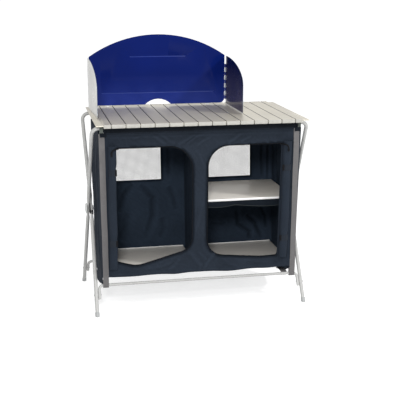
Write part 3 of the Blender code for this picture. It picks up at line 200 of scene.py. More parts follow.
class CupboardSizes(bpy.types.PropertyGroup):
    """Sizes of the dressed pieces that a user may change."""

    cloth_cell: measure("Cloth cell", "Size of the quads in a cloth wall", 0.0045, min=0.003)
    weave_pitch: measure("Weave pitch", "Distance between two threads", 0.0009)
    crumple: measure("Crumple", "Height of the small soft crumples in the cloth", 0.0036)
    # Painted fold shade: how much paler the cloth's ridges and how much darker its valleys are painted.
    rub_and_fold_shade: FloatProperty(name="Rub", description="How pale the cloth's ridges are", default=0.40, max=1.0)
    webbing_rib: measure("Webbing rib", "Distance between two ribs of the webbing", 0.0022)
    net_pitch: measure("Net pitch", "Distance between two strands of the nets", 0.0050)
    net_strand: measure("Net strand", "Width of one strand of the nets", 0.0013)
    zip_width: measure("Zip tape", "Width of the tape beside a door opening", 0.0110)
    stitch_pitch: measure("Stitch pitch", "Distance between two stitches", 0.0045)
    cap_depth: measure("Slat cap", "How far a slat's moulded cap reaches along it", 0.0070)
    roll_levels: IntProperty(
        name="Roll levels", description="Steps along a roll", default=64, min=12, max=200
    )


class CupboardColours(bpy.types.PropertyGroup):
    """Colours of the finishes."""

    outer_cloth: tint("Outer cloth", "Panel, sides and doors", (0.0185, 0.0250, 0.0365))
    inner_cloth: tint("Inner cloth", "Rear wall, floor and divider", (0.022, 0.033, 0.051))
    webbing: tint("Webbing", "Straps", (0.160, 0.155, 0.157))
    net: tint("Net", "Window nets", (0.20, 0.20, 0.19))
    tube: tint("Tube", "Painted tube frames", (0.48, 0.48, 0.47))
    slat: tint("Slat", "Satin metal of the top", (0.57, 0.535, 0.455))
    cap: tint("Slat cap", "Moulded ends of the slats", (0.45, 0.44, 0.405))
    screen_inside: tint("Screen inside", "Enamel on the windscreen's inner faces", (0.002, 0.010, 0.112))
    screen_outside: tint("Screen outside", "Enamel on the windscreen's outer faces", (0.74, 0.74, 0.72))
    board: tint("Board", "Laminated boards", (0.80, 0.76, 0.70))


def sizes():
    return bpy.context.scene.cupboard_sizes


def colours():
    return bpy.context.scene.cupboard_colours


# Finishes


def finish(name, roughness, metallic=0.0, **sockets):
    """A material with its Principled shader; sockets names further inputs, with _ for a space."""
    made = bpy.data.materials.new(name)
    made.use_nodes = True
    shader = made.node_tree.nodes["Principled BSDF"]
    shader.inputs["Roughness"].default_value = roughness
    shader.inputs["Metallic"].default_value = metallic
    for socket, value in sockets.items():
        shader.inputs[socket.replace("_", " ")].default_value = value
    return made, made.node_tree, shader


def placed_coordinates(tree, scale=(1, 1, 1)):
    """Object coordinates through a Mapping node."""
    source = tree.nodes.new("ShaderNodeTexCoord")
    mapping = tree.nodes.new("ShaderNodeMapping")
    mapping.inputs["Scale"].default_value = scale
    tree.links.new(source.outputs["Object"], mapping.inputs["Vector"])
    return mapping.outputs["Vector"]


def noise_value(tree, size, detail=3.0, stretch=(1, 1, 1)):
    """Noise whose grains are about this many metres across."""
    texture = tree.nodes.new("ShaderNodeTexNoise")
    texture.inputs["Scale"].default_value = 1 / size
    texture.inputs["Detail"].default_value = detail
    tree.links.new(placed_coordinates(tree, stretch), texture.inputs["Vector"])
    return texture.outputs["Fac"]


def feed(tree, socket, value):
    """Gives a socket its value: another socket, a number or a colour."""
    if isinstance(value, bpy.types.NodeSocket):
        tree.links.new(value, socket)
    else:
        socket.default_value = value if isinstance(value, (int, float)) else (*value, 1)


def wire(tree, shader, **sockets):
    """Feeds the shader's inputs, named with _ for a space."""
    for name, value in sockets.items():
        feed(tree, shader.inputs[name.replace("_", " ")], value)


def calculate(tree, operation, first, second=0.0):
    """A Math node; either value may be a socket or a number."""
    node = tree.nodes.new("ShaderNodeMath")
    node.operation = operation
    feed(tree, node.inputs[0], first)
    feed(tree, node.inputs[1], second)
    return node.outputs[0]


def spread(tree, value, low, high, to_low=0.0, to_high=1.0):
    """A value's range, stretched and clamped."""
    node = tree.nodes.new("ShaderNodeMapRange")
    tree.links.new(value, node.inputs["Value"])
    for socket, number in zip(("From Min", "From Max", "To Min", "To Max"), (low, high, to_low, to_high)):
        node.inputs[socket].default_value = number
    return node.outputs["Result"]


def mixed_colour(tree, factor, first, second):
    """A colour between two; any of the three may be a socket."""
    node = tree.nodes.new("ShaderNodeMix")
    node.data_type = "RGBA"
    for index, value in ((0, factor), (6, first), (7, second)):
        feed(tree, node.inputs[index], value)
    return node.outputs[2]


def shade_of(colour, factor):
    return tuple(min(1.0, part * factor) for part in colour)


def add_bump(tree, shader, height, distance, strength=1.0):
    """Sends a height to the shader's normal."""
    node = tree.nodes.new("ShaderNodeBump")
    node.inputs["Distance"].default_value = distance
    node.inputs["Strength"].default_value = strength
    tree.links.new(height, node.inputs["Height"])
    tree.links.new(node.outputs["Normal"], shader.inputs["Normal"])


def along_axis(tree, axis):
    """One of the Object coordinates."""
    parts = tree.nodes.new("ShaderNodeSeparateXYZ")
    tree.links.new(placed_coordinates(tree), parts.inputs["Vector"])
    return parts.outputs[axis]


def thread_wave(tree, axis, pitch):
    """A wave of threads along one Object axis, from 0 to 1."""
    turn = calculate(tree, "MULTIPLY", along_axis(tree, axis), math.tau / pitch)
    return calculate(tree, "MULTIPLY_ADD", calculate(tree, "SINE", turn), 0.5)


def woven(name, colour, axes, roughness=0.86):
    """Plain-woven cloth: crossing threads, a slow drift of the dye, and painted light along its folds: paler
    ridges, a painted highlight that stands partly for chafing, and darker valleys, a painted shade.
    """
    made, tree, shader = finish(name, roughness, Specular_IOR_Level=0.10)
    pitch = sizes().weave_pitch
    warp = thread_wave(tree, axes[0], pitch)
    weft = thread_wave(tree, axes[1], pitch)
    threads = calculate(tree, "MULTIPLY", warp, weft)
    drift = spread(tree, noise_value(tree, 0.11, 4.0), 0.30, 0.70)
    fleck = spread(tree, noise_value(tree, 0.0022, 2.0), 0.35, 0.65)
    base = mixed_colour(tree, drift, shade_of(colour, 0.84), shade_of(colour, 1.16))
    flecked = mixed_colour(tree, fleck, shade_of(colour, 0.80), shade_of(colour, 1.25))
    both = mixed_colour(tree, 0.35, base, flecked)
    # Painted highlight and painted shade: an attribute worked out from the folds' shape pales the ridges and
    # darkens the valleys.
    rub_and_fold_shade = tree.nodes.new("ShaderNodeAttribute")
    rub_and_fold_shade.attribute_name = "rub_and_fold_shade"
    wear_and_fold_shade = spread(tree, rub_and_fold_shade.outputs["Fac"], -1.0, 1.0, 1 - sizes().rub_and_fold_shade, 1 + sizes().rub_and_fold_shade)
    tone = tree.nodes.new("ShaderNodeVectorMath")
    tone.operation = "SCALE"
    tree.links.new(both, tone.inputs[0])
    tree.links.new(wear_and_fold_shade, tone.inputs["Scale"])
    wire(tree, shader, Base_Color=tone.outputs[0])
    crumple = calculate(tree, "MULTIPLY", noise_value(tree, 0.034, 2.5), sizes().crumple / 0.00035)
    add_bump(tree, shader, calculate(tree, "ADD", threads, crumple), 0.00035, 0.8)
    return made


def webbing_finish(name, colour, rib_axis):
    """Flat webbing: ribs across it and a mottle of the yarn."""
    made, tree, shader = finish(name, 0.80, Specular_IOR_Level=0.20)
    ribs = thread_wave(tree, rib_axis, sizes().webbing_rib)
    yarn = spread(tree, noise_value(tree, 0.0016, 2.0), 0.3, 0.7)
    dirt = spread(tree, noise_value(tree, 0.05, 3.0), 0.35, 0.75)
    tone = mixed_colour(tree, yarn, shade_of(colour, 0.78), shade_of(colour, 1.18))
    soiled = mixed_colour(tree, calculate(tree, "MULTIPLY", dirt, 0.25), tone, shade_of(colour, 0.70))
    wire(tree, shader, Base_Color=soiled)
    add_bump(tree, shader, calculate(tree, "ADD", ribs, yarn), 0.0004, 0.9)
    return made


def enamel(name, colour, roughness=0.12, gloss=0.07, painted_reflection=None, reach=0.140):
    """Stoved enamel on sheet metal: a gloss, a faint orange peel and, if a reflected tone is given, a painted
    reflection of the pale top: a paler tone low down, in patches.
    """
    made, tree, shader = finish(name, roughness, Specular_IOR_Level=gloss)
    drift = spread(tree, noise_value(tree, 0.20, 2.0), 0.3, 0.7)
    tone = mixed_colour(tree, drift, shade_of(colour, 0.92), shade_of(colour, 1.08))
    # Painted reflection: low down and in patches the colour turns towards the given tone, as if the slatted
    # top were reflected in the enamel.
    if painted_reflection:
        low = spread(tree, along_axis(tree, "Z"), SLAT_TOP + 0.020, SLAT_TOP + reach, 1.0, 0.0)
        patches = spread(tree, noise_value(tree, 0.09, 3.0), 0.2, 0.7, 0.5, 1.0)
        tone = mixed_colour(tree, calculate(tree, "MULTIPLY", low, patches), tone, painted_reflection)
    reflection_haze = spread(tree, noise_value(tree, 0.04, 4.0), 0.3, 0.75, roughness * 0.8, roughness * 1.5)
    wire(tree, shader, Base_Color=tone, Roughness=reflection_haze)
    add_bump(tree, shader, noise_value(tree, 0.006, 1.0), 0.0002, 0.25)
    return made


def satin_metal(name, colour):
    """Drawn and lacquered metal: fine lines along it and a slow change of tone."""
    made, tree, shader = finish(name, 0.38, 0.35)
    lines = noise_value(tree, 0.0012, 2.0, (1, 0.02, 1))
    drift = spread(tree, noise_value(tree, 0.15, 2.0), 0.3, 0.7)
    tone = mixed_colour(tree, drift, shade_of(colour, 0.94), shade_of(colour, 1.05))
    rubbed = mixed_colour(tree, spread(tree, lines, 0.45, 0.75), tone, shade_of(colour, 1.12))
    wire(tree, shader, Base_Color=rubbed, Roughness=spread(tree, lines, 0.3, 0.7, 0.32, 0.46))
    add_bump(tree, shader, lines, 0.0001, 0.5)
    return made


def painted_tube(name, colour):
    """Powder coat on tube: a fine grain, duller where hands and the ground rub it."""
    made, tree, shader = finish(name, 0.36, Specular_IOR_Level=0.40)
    rub_and_fold_shade = spread(tree, noise_value(tree, 0.03, 5.0), 0.50, 0.70)
    tone = mixed_colour(tree, rub_and_fold_shade, colour, shade_of(colour, 0.88))
    wire(tree, shader, Base_Color=tone, Roughness=spread(tree, rub_and_fold_shade, 0, 1, 0.32, 0.48))
    add_bump(tree, shader, noise_value(tree, 0.0012, 2.0), 0.00008, 0.6)
    return made


def moulded(name, colour, roughness=0.45, gloss=0.5):
    """Moulded plastic with a spark-eroded grain and a little wear."""
    made, tree, shader = finish(name, roughness, Specular_IOR_Level=gloss)
    wear_and_fold_shade = spread(tree, noise_value(tree, 0.012, 4.0), 0.40, 0.75)
    worn_and_rib_highlight = mixed_colour(tree, wear_and_fold_shade, colour, shade_of(colour, 0.86))
    dulled = spread(tree, wear_and_fold_shade, 0, 1, roughness * 0.85, roughness * 1.2)
    wire(tree, shader, Base_Color=worn_and_rib_highlight, Roughness=dulled)
    add_bump(tree, shader, noise_value(tree, 0.0008, 2.0), 0.00008, 0.7)
    return made


def bright_metal(name, colour=(0.62, 0.62, 0.63)):
    """Zinc-plated steel with small turned marks."""
    made, tree, shader = finish(name, 0.28, 1.0)
    marks = noise_value(tree, 0.0015, 3.0)
    tone = mixed_colour(tree, marks, shade_of(colour, 0.85), colour)
    wire(tree, shader, Base_Color=tone, Roughness=spread(tree, marks, 0.3, 0.7, 0.22, 0.40))
    add_bump(tree, shader, marks, 0.00004, 0.5)
    return made


def laminate(name, colour):
    """Laminated board: a pale sheet with a faint fibre in it."""
    made, tree, shader = finish(name, 0.30)
    fibre = spread(tree, noise_value(tree, 0.004, 4.0, (0.25, 1, 1)), 0.35, 0.65)
    cloud = spread(tree, noise_value(tree, 0.09, 3.0), 0.35, 0.65)
    tone = mixed_colour(tree, cloud, shade_of(colour, 0.96), shade_of(colour, 1.03))
    faint = calculate(tree, "MULTIPLY", fibre, 0.4)
    wire(tree, shader, Base_Color=mixed_colour(tree, faint, tone, shade_of(colour, 0.90)))
    add_bump(tree, shader, fibre, 0.00006, 0.5)
    return made


# Shapes


def turn_outwards(bm):
    """Points the faces of closed shapes outwards."""
    bmesh.ops.recalc_face_normals(bm, faces=bm.faces[:])
    if bm.calc_volume(signed=True) < 0:
        bmesh.ops.reverse_faces(bm, faces=bm.faces[:])


def mesh_of(bm, name):
    mesh = bpy.data.meshes.new(name)
    bm.to_mesh(mesh)
    bm.free()
    return mesh


def linked(name, data):
    """A new object in the scene."""
    made = bpy.data.objects.new(name, data)
    bpy.context.scene.collection.objects.link(made)
    return made


def add_piece(name, bm, finishes, replaces=(), body="stand", sharp=40):
    """Links a finished shape as a piece that rides on a body and takes the given finishes."""
    mesh = mesh_of(bm, name)
    for item in finishes:
        mesh.materials.append(item)
    mesh.shade_smooth()
    mesh.set_sharp_from_angle(angle=math.radians(sharp))
    made = linked(name, mesh)
    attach(made, body)
    if replaces:
        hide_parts(*replaces)
    return made


def give_finishes(bm, choose):
    """Gives each face the finish whose number, or truth as 1 or 0, a function of the face returns."""
    for face in bm.faces:
        face.material_index = int(choose(face))


def merged_copy(node):
    """A CAD node's mesh, with its loose triangles joined and its flat faces made whole."""
    bm = bmesh.new()
    bm.from_mesh(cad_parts[node].data)
    bmesh.ops.remove_doubles(bm, verts=bm.verts[:], dist=1e-6)
    bmesh.ops.dissolve_limit(bm, angle_limit=math.radians(0.6), verts=bm.verts[:], edges=bm.edges[:])
    return bm


def bevel_edges(bm, width, segments=2, above=35):
    """Rounds the edges whose faces meet at more than an angle in degrees."""
    limit = math.radians(above)
    edges = [edge for edge in bm.edges if len(edge.link_faces) == 2 and edge.calc_face_angle() > limit]
    bmesh.ops.bevel(
        bm, geom=edges, offset=width, offset_type="OFFSET", segments=segments, profile=0.5, affect="EDGES",
        material=-1, clamp_overlap=True,
    )


def refined(node, name, look, body="stand", bevel=0.0):
    """A rigid CAD node's own shape, its edges rounded when a bevel is given, in place of the node."""
    bm = merged_copy(node)
    if bevel:
        bevel_edges(bm, bevel)
    return add_piece(name, bm, [look], [node], body)


def rounded_outline(corners, steps):
    """A closed outline through corners (u, v, radius), each rounded by its own radius."""
    outline = []
    for index, (u, v, radius) in enumerate(corners):
        here = Vector((u, v))
        back = (Vector(corners[index - 1][:2]) - here).normalized()
        forward = (Vector(corners[(index + 1) % len(corners)][:2]) - here).normalized()
        half = back.angle(forward) / 2
        middle = here + (back + forward).normalized() * radius / math.sin(half)
        first = here + back * radius / math.tan(half) - middle
        last = here + forward * radius / math.tan(half) - middle
        turn = first.angle(last)
        for step in range(steps + 1):
            share = step / steps
            arm = first * math.sin((1 - share) * turn) + last * math.sin(share * turn)
            outline.append(tuple(middle + arm / math.sin(turn)))
    return outline


def area_of(outline):
    """The area inside a closed outline."""
    return abs(sum(a[0] * b[1] - b[0] * a[1] for a, b in zip(outline, outline[1:] + outline[:1]))) / 2


def verts_in(geom):
    return [part for part in geom if isinstance(part, bmesh.types.BMVert)]


def raise_faces(bm, faces, lift):
    """Extrudes faces along z."""
    raised = bmesh.ops.extrude_face_region(bm, geom=faces)["geom"]
    bmesh.ops.translate(bm, verts=verts_in(raised), vec=(0, 0, lift))


def prism(outline, low, high):
    """A closed plate with this outline, from one height to another."""
    bm = bmesh.new()
    face = bm.faces.new([bm.verts.new((u, v, low)) for u, v in outline])
    raise_faces(bm, [face], high - low)
    turn_outwards(bm)
    return bm


def carved(bm, other, operation):
    """Two closed shapes joined or cut by an exact Boolean."""
    targets = [linked("working", mesh_of(part, "working")) for part in (bm, other)]
    change = targets[0].modifiers.new("cut", "BOOLEAN")
    change.operation = operation
    change.object = targets[1]
    change.solver = "EXACT"
    graph = bpy.context.evaluated_depsgraph_get()
    result = bmesh.new()
    result.from_object(targets[0], graph)
    for made in targets:
        mesh = made.data
        bpy.data.objects.remove(made)
        bpy.data.meshes.remove(mesh)
    return result


def moved(bm, middle, turn):
    """Turns or scales a shape about its origin and takes it to a place."""
    bmesh.ops.transform(bm, matrix=Matrix.Translation(middle) @ turn, verts=bm.verts[:])
    return bm


def ruled_plate(across, up, thickness, cell, outline=None, holes=()):
    """A closed plate of even quads in its own plane, cut to an outline and pierced by holes."""
    bm = bmesh.new()
    columns = round((across[1] - across[0]) / cell)
    rows = round((up[1] - up[0]) / cell)
    bmesh.ops.create_grid(bm, x_segments=columns, y_segments=rows, size=1)
    size = Vector(((across[1] - across[0]) / 2, (up[1] - up[0]) / 2, 1))
    middle = Vector(((across[0] + across[1]) / 2, (up[0] + up[1]) / 2, 0))
    moved(bm, middle, Matrix.Diagonal(size).to_4x4())
    raise_faces(bm, bm.faces[:], thickness)
    turn_outwards(bm)
    if outline:
        bm = carved(bm, prism(outline, -thickness, 2 * thickness), "INTERSECT")
    for hole in holes:
        bm = carved(bm, prism(hole, -thickness, 2 * thickness), "DIFFERENCE")
    return bm


def shaped(bm, place):
    """Moves every vertex from the plate's plane (u, v, w) to its place in the model."""
    for vert in bm.verts:
        vert.co = place(*vert.co)
    turn_outwards(bm)
    return bm


def thickened(bm, thickness):
    """An open surface made a closed sheet."""
    bmesh.ops.solidify(bm, geom=bm.faces[:], thickness=thickness)
    turn_outwards(bm)
    return bm


def neighbours(vert):
    return [edge.other_vert(vert) for edge in vert.link_edges]


def swept(rings):
    """An open surface through equal rows of points."""
    bm = bmesh.new()
    row = [bm.verts.new(point) for point in rings[0]]
    edges = [bm.edges.new(pair) for pair in zip(row, row[1:])]
    for ring in rings[1:]:
        raised = bmesh.ops.extrude_edge_only(bm, edges=edges)["geom"]
        fresh = set(verts_in(raised))
        row = [next(other for other in neighbours(vert) if other in fresh) for vert in row]
        edges = [part for part in raised if isinstance(part, bmesh.types.BMEdge)]
        edges = [edge for edge in edges if fresh.issuperset(edge.verts)]
        for vert, point in zip(row, ring):
            vert.co = point
    return bm


def ribbon(points, sides, width):
    """A tape along points, the far edge a width away to the side; its two faces lie on each other."""
    far = [point + side * width for point, side in zip(points, sides)]
    return thickened(swept([points, far]), TAPE_THICK)


def strip(low, high, steps, path):
    """An open strip along (y, z) points, from one place across the model to another."""
    across = [low + (high - low) * step / steps for step in range(steps + 1)]
    bm = swept([[(x, *spot) for x in across] for spot in path])
    bm.normal_update()
    return bm


def length_of(points):
    return sum((Vector(after) - Vector(before)).length for before, after in zip(points, points[1:]))


def cord(points, radius, sides=8):
    """A round cord along points, closed at both ends."""
    curve = bpy.data.curves.new("cord", "CURVE")
    curve.dimensions = "3D"
    curve.bevel_depth = radius
    curve.bevel_resolution = sides // 2 - 2
    curve.use_fill_caps = True
    spline = curve.splines.new("POLY")
    spline.points.add(len(points) - 1)
    for target, point in zip(spline.points, points):
        target.co = (*point, 1)
    guide = linked("cord", curve)
    graph = bpy.context.evaluated_depsgraph_get()
    mesh = bpy.data.meshes.new_from_object(guide.evaluated_get(graph))
    bm = bmesh.new()
    bm.from_mesh(mesh)
    bmesh.ops.remove_doubles(bm, verts=bm.verts[:], dist=1e-6)
    bpy.data.objects.remove(guide)
    bpy.data.curves.remove(curve)
    bpy.data.meshes.remove(mesh)
    turn_outwards(bm)
    return bm


def joined(parts):
    """Several shapes as one."""
    whole = bmesh.new()
    for part in parts:
        mesh = mesh_of(part, "part")
        whole.from_mesh(mesh)
        bpy.data.meshes.remove(mesh)
    return whole


def block(low, high, bevel=0.0, segments=2):
    """A block between two corners, with rounded edges."""
    bm = bmesh.new()
    bmesh.ops.create_cube(bm, size=1)
    size = Vector(high) - Vector(low)
    middle = (Vector(high) + Vector(low)) / 2
    moved(bm, middle, Matrix.Diagonal(size).to_4x4())
    if bevel:
        bevel_edges(bm, bevel, segments)
    return bm


def along_route(points, pitch):
    """Evenly spaced (point, direction) pairs along a route of points."""
    points = [Vector(point) for point in points]
    spots = []
    carried = pitch / 2
    for start, end in zip(points, points[1:]):
        span = (end - start).length
        if span < 1e-9:
            continue
        way = (end - start) / span
        while carried <= span:
            spots.append((start + way * carried, way))
            carried += pitch
        carried -= span
    return spots


def stitches(routes):
    """Rows of short thread stitches that lie on a surface facing the front."""
    pitch = sizes().stitch_pitch
    half = Vector((pitch * 0.36, THREAD_HALF, THREAD_HALF * 0.6))
    parts = []
    for route in routes:
        for spot, way in along_route(route, pitch):
            side = Vector((0, -1, 0)).cross(way).normalized()
            turn = Matrix((way, side, way.cross(side))).transposed().to_4x4()
            parts.append(moved(block(-half, half), spot, turn))
    return joined(parts)


# Cloth walls


class Wall:
    """The plane of the cabinet's front or rear wall: it hangs from an upper bar and passes the lower one."""

    def __init__(self, sign, bar_y, lower_y, folds, seed, fixed, dips):
        self.sign = sign
        self.bar_y = bar_y
        self.top = bar_y + sign * (TUBE_R + GAP)
        self.low = lower_y + sign * (LOWER_BAR_R + GAP)
        self.folds = folds
        self.seed = seed
        self.fixed = fixed
        self.dips = dips

    def inner(self, height):
        """Where the wall's inner face lies at a height."""
        share = (BAR_Z - height) / (BAR_Z - LOWER_BAR_Z)
        return self.top + (self.low - self.top) * share

    def relief(self, across, height):
        """How far the cloth stands out here: its folds and its small creases, none at its fixed edges."""
        fade = ease((self.fixed - abs(across)) / 0.022) * ease((HEM_SEAM - 0.004 - height) / 0.012)
        return fade * (fold_rise(across, height, self.folds) + creases(across, height, self.seed))

    def dip(self, across):
        """How far the lower edge hangs below its straight line."""
        return sum(low * math.exp(-(((across - middle) / wide) ** 2)) for middle, low, wide in self.dips)

    def surface(self, across, height, lift=0.0):
        """A point on the wall's outer face, or lifted off it."""
        out = CLOTH + self.relief(across, height) + lift
        return Vector((across, self.inner(height) + self.sign * out, height))


def ease(share):
    """A smooth step from 0 to 1."""
    share = max(0.0, min(1.0, share))
    return share * share * (3 - 2 * share)


def fold_rise(across, height, folds):
    """How high the main folds rise at a point: ridges along their routes that fade at both ends."""
    here = Vector((across, height))
    rise = 0.0
    for route, tall, wide in folds:
        pieces = len(route) - 1
        for index, (start, end) in enumerate(zip(route, route[1:])):
            start, line = Vector(start), Vector(end) - Vector(start)
            share = max(0.0, min(1.0, (here - start).dot(line) / line.length_squared))
            beside = (here - start - line * share).length
            if beside > 3 * wide:
                continue
            fade = 1 - (2 * (index + share) / pieces - 1) ** 4
            rise = max(rise, tall * fade * math.exp(-((beside / wide) ** 2)))
    return rise


def add_fold_shade(bm):
    """Stores the painted fold shade: 1 on sharp ridges, which the cloth then paints paler as a painted
    highlight that stands partly for chafing, -1 in valleys, which it paints darker as a painted shade, from
    each vertex's neighbours.
    """
    bm.normal_update()
    rub_and_fold_shade = bm.verts.layers.float.new("rub_and_fold_shade")
    for vert in bm.verts:
        if min(face.normal.dot(vert.normal) for face in vert.link_faces) < 0.8:
            continue
        others = [other.co for other in neighbours(vert)]
        rise = (vert.co - sum(others, Vector()) / len(others)).dot(vert.normal)
        vert[rub_and_fold_shade] = max(-1.0, min(1.0, rise / 0.0007))


def creases(across, height, seed):
    """Small soft creases, always outwards."""
    slow = noise.noise(Vector((across / 0.070, height / 0.110, seed)))
    turned = (across + height) / 0.030, (height - across) / 0.062
    quick = 1 - abs(noise.noise(Vector((*turned, seed + 7))))
    return 0.0016 * (slow + 1) + 0.0007 * quick ** 3


FRONT = Wall(-1, FRONT_BAR_Y, FRONT_LOWER_Y, FRONT_FOLDS, 3.1, 0.390, FRONT_DIPS)
REAR = Wall(1, REAR_BAR_Y, REAR_LOWER_Y, BACK_FOLDS, 11.7, CABINET_HALF, ())


def hem_profile(wall):
    """The sleeve round an upper bar, seen from its end: down behind the bar and forward to the seam."""
    middle = TUBE_R + GAP + CLOTH / 2
    points = [(middle, HEM_TOP - BAR_Z)]
    for step in range(6):
        turn = math.radians(-9 * step)
        points.append((middle * math.cos(turn), middle * math.sin(turn)))
    points.append((-middle + CLOTH, HEM_SEAM + 2 * CLOTH - BAR_Z))
    return [(wall.bar_y - wall.sign * y, BAR_Z + z) for y, z in points]


def hem_sleeve(wall, half):
    """The hem's second ply, behind the bar, across the whole wall."""
    profile = hem_profile(wall)
    bm = swept([[(x, *spot) for spot in profile] for x in (-half, half)])
    bm.normal_update()
    return thickened(bm, CLOTH * 0.8)


def hang(piece):
    """Gives a cloth piece its own copy of its mesh."""
    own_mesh(piece)


def hung_cloth(name, wall, holes, finishes, node):
    """A front or rear wall of the cabinet: cloth with its folds, its openings and its hem."""
    half = CABINET_HALF + CLOTH + 2 * GAP
    corner = HEM_SEAM + CLOTH
    outline = [(-half, CABINET_LOW), (half, CABINET_LOW), (half, HEM_SEAM), (HEM_HALF, corner)]
    outline += [(HEM_HALF, HEM_TOP), (-HEM_HALF, HEM_TOP), (-HEM_HALF, corner), (-half, HEM_SEAM)]
    cell = sizes().cloth_cell
    bm = ruled_plate((-half - cell, half + cell), (CABINET_LOW, HEM_TOP), CLOTH, cell, outline, holes)

    def place(u, v, w):
        out = w + wall.relief(u, v)
        dip = wall.dip(u) * ease((CABINET_LOW + 0.050 - v) / 0.050)
        return Vector((u, wall.inner(v) + wall.sign * out, v - dip))

    bm = joined([shaped(bm, place), hem_sleeve(wall, HEM_HALF - GAP)])
    bm.normal_update()
    give_finishes(bm, lambda face: abs(face.normal.y) < 0.5)
    add_fold_shade(bm)
    piece = add_piece(name, bm, finishes, [node], sharp=55)
    width = 2 * half
    tall = HEM_TOP - CABINET_LOW + HEM_TURN
    cut = width * tall - sum(area_of(hole) for hole in holes)
    hang(piece)


def hang_across(piece, outline):
    """Gives a cloth wall that reaches from the front wall to the rear wall its own copy of its mesh."""
    area_of(outline)
    hang(piece)


def opening_route(outline, start, count, lift, inset, wall):
    """Points along part of an opening's edge, on the wall's outer face, and the directions away from it."""
    points, sides = [], []
    size = len(outline)
    middle = sum((Vector(point) for point in outline), Vector((0, 0))) / size
    for step in range(start, start + count):
        here = Vector(outline[step % size])
        way = (Vector(outline[(step + 1) % size]) - Vector(outline[(step - 1) % size])).normalized()
        away = Vector((way.y, -way.x))
        if away.dot(here - middle) < 0:
            away = -away
        spot = here + away * inset
        points.append(wall.surface(spot.x, spot.y, lift))
        sides.append(Vector((away.x, 0, away.y)))
    return points, sides


def refined_outline(outline, spacing):
    """An outline with points no further apart than a spacing."""
    points = []
    for start, end in zip(outline, outline[1:] + outline[:1]):
        start, end = Vector(start), Vector(end)
        steps = max(1, math.ceil((end - start).length / spacing))
        points += [tuple(start.lerp(end, step / steps)) for step in range(steps)]
    return points


class CUPBOARD_OT_front_panel(bpy.types.Operator):
    """Hangs the front panel with its two door openings, hem, zips and seams"""

    bl_idname = "cupboard.front_panel"
    bl_label = "Front panel"

    def execute(self, context):
        tone = colours()
        cloth = woven("outer_cloth_front", tone.outer_cloth, ("X", "Z"))
        doors = [rounded_outline(LEFT_DOOR, 8), rounded_outline(RIGHT_DOOR, 8)]
        bound = moulded("bound_edge", (0.006, 0.007, 0.009), 0.8, 0.1)
        finishes = [cloth, bound]
        slot, node, rests_on = "outer_cloth", "front_panel", ["frame_front_top"]
        hung_cloth("front_panel_cloth", FRONT, doors, finishes, node)
        # Painted shade: the hem band under the top takes the panel's cloth at 0.42 of its colour, for the
        # shade below the top.
        band = woven("hem_cloth_painted_shade", shade_of(tone.outer_cloth, 0.42), ("X", "Z"))
        reach = (-HEM_BAND_HALF, HEM_BAND_HALF)
        sleeve = ruled_plate(reach, (HEM_SEAM + 0.001, HEM_TOP - 0.0008), TAPE_THICK, 0.010)

        def on_hem(u, v, w):
            ripple = 0.0005 * (1 + noise.noise(Vector((u / 0.02, v / 0.02, 5.0))))
            return Vector((u, FRONT.inner(v) - CLOTH - w - ripple, v))

        parts = [shaped(sleeve, on_hem)]
        for sign in (-1, 1):
            low = Vector((sign * STRAP_X - 0.0135, FRONT.inner(HEM_SEAM) - 0.0058, HEM_SEAM - 0.009))
            parts.append(block(low, low + Vector((0.0270, 0.0012, 0.0165)), 0.0004))
        hang(add_piece("front_hem_band", joined(parts), [band]))
        self.add_zips(doors, tone)
        thread = moulded("sewing_thread", shade_of(tone.outer_cloth, 1.6), 0.8, 0.1)
        rows = []
        for z in (HEM_SEAM + 0.0030, HEM_SEAM + 0.0058):
            rows.append([(x, FRONT.inner(z) - CLOTH - 0.0014, z) for x in (-SEAM_HALF, SEAM_HALF)])
        low = CABINET_LOW + 0.006
        across = [-0.384 + 0.008 * step for step in range(97)]
        rows.append([FRONT.surface(u, low, 0.0004) - Vector((0, 0, FRONT.dip(u) * 0.9)) for u in across])
        hang(add_piece("front_seams", stitches(rows), [thread]))
        return {"FINISHED"}

    def add_zips(self, doors, tone):
        """Zip tape and coil round both openings, except on the side where the door is sewn on."""
        tape_finish = woven("zip_tape_cloth", shade_of(tone.outer_cloth, 0.80), ("X", "Z"))
        coil_finish = moulded("zip_coil_plastic", (0.004, 0.0045, 0.006), 0.5, 0.1)
        thread = moulded("zip_thread", shade_of(tone.outer_cloth, 1.5), 0.8, 0.1)
        width = sizes().zip_width
        tapes, coils, rows = [], [], []
        for outline in doors:
            fine = refined_outline(outline, 0.008)
            count = len(fine)
            outer = max(abs(point[0]) for point in fine)
            edge = [index for index in range(count) if abs(abs(fine[index][0]) - outer) < 0.004]
            ends = [index for index in edge if (index + 1) % count not in edge]
            start = min(ends)
            span = count - len(edge) + 2
            points, sides = opening_route(fine, start, span, 0.0004, 0.0006, FRONT)
            tapes.append(ribbon(points, sides, width))
            points, _ = opening_route(fine, start, span, 0.0010, 0.0016, FRONT)
            coils.append(cord(points, 0.0013))
            points, _ = opening_route(fine, start, span, 0.0012, width - 0.0020, FRONT)
            rows.append(points)
        for route in ZIP_PULLS:
            points = [FRONT.surface(*spot) for spot in route]
            coils.append(cord(points, 0.0034, 10))
            low = points[-1] - Vector((0.0042, 0.0022, 0.0120))
            coils.append(block(low, points[-1] + Vector((0.0042, 0.0022, 0.0020)), 0.0010))
        hang(add_piece("zip_tapes", joined(tapes), [tape_finish]))
        hang(add_piece("zip_coils", joined(coils), [coil_finish]))
        hang(add_piece("zip_seams", stitches(rows), [thread]))


def window_outline(node):
    low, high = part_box(node)
    corners = [(low[0], low[2]), (high[0], low[2]), (high[0], high[2]), (low[0], high[2])]
    return rounded_outline([(u, v, 0.003) for u, v in corners], 3)


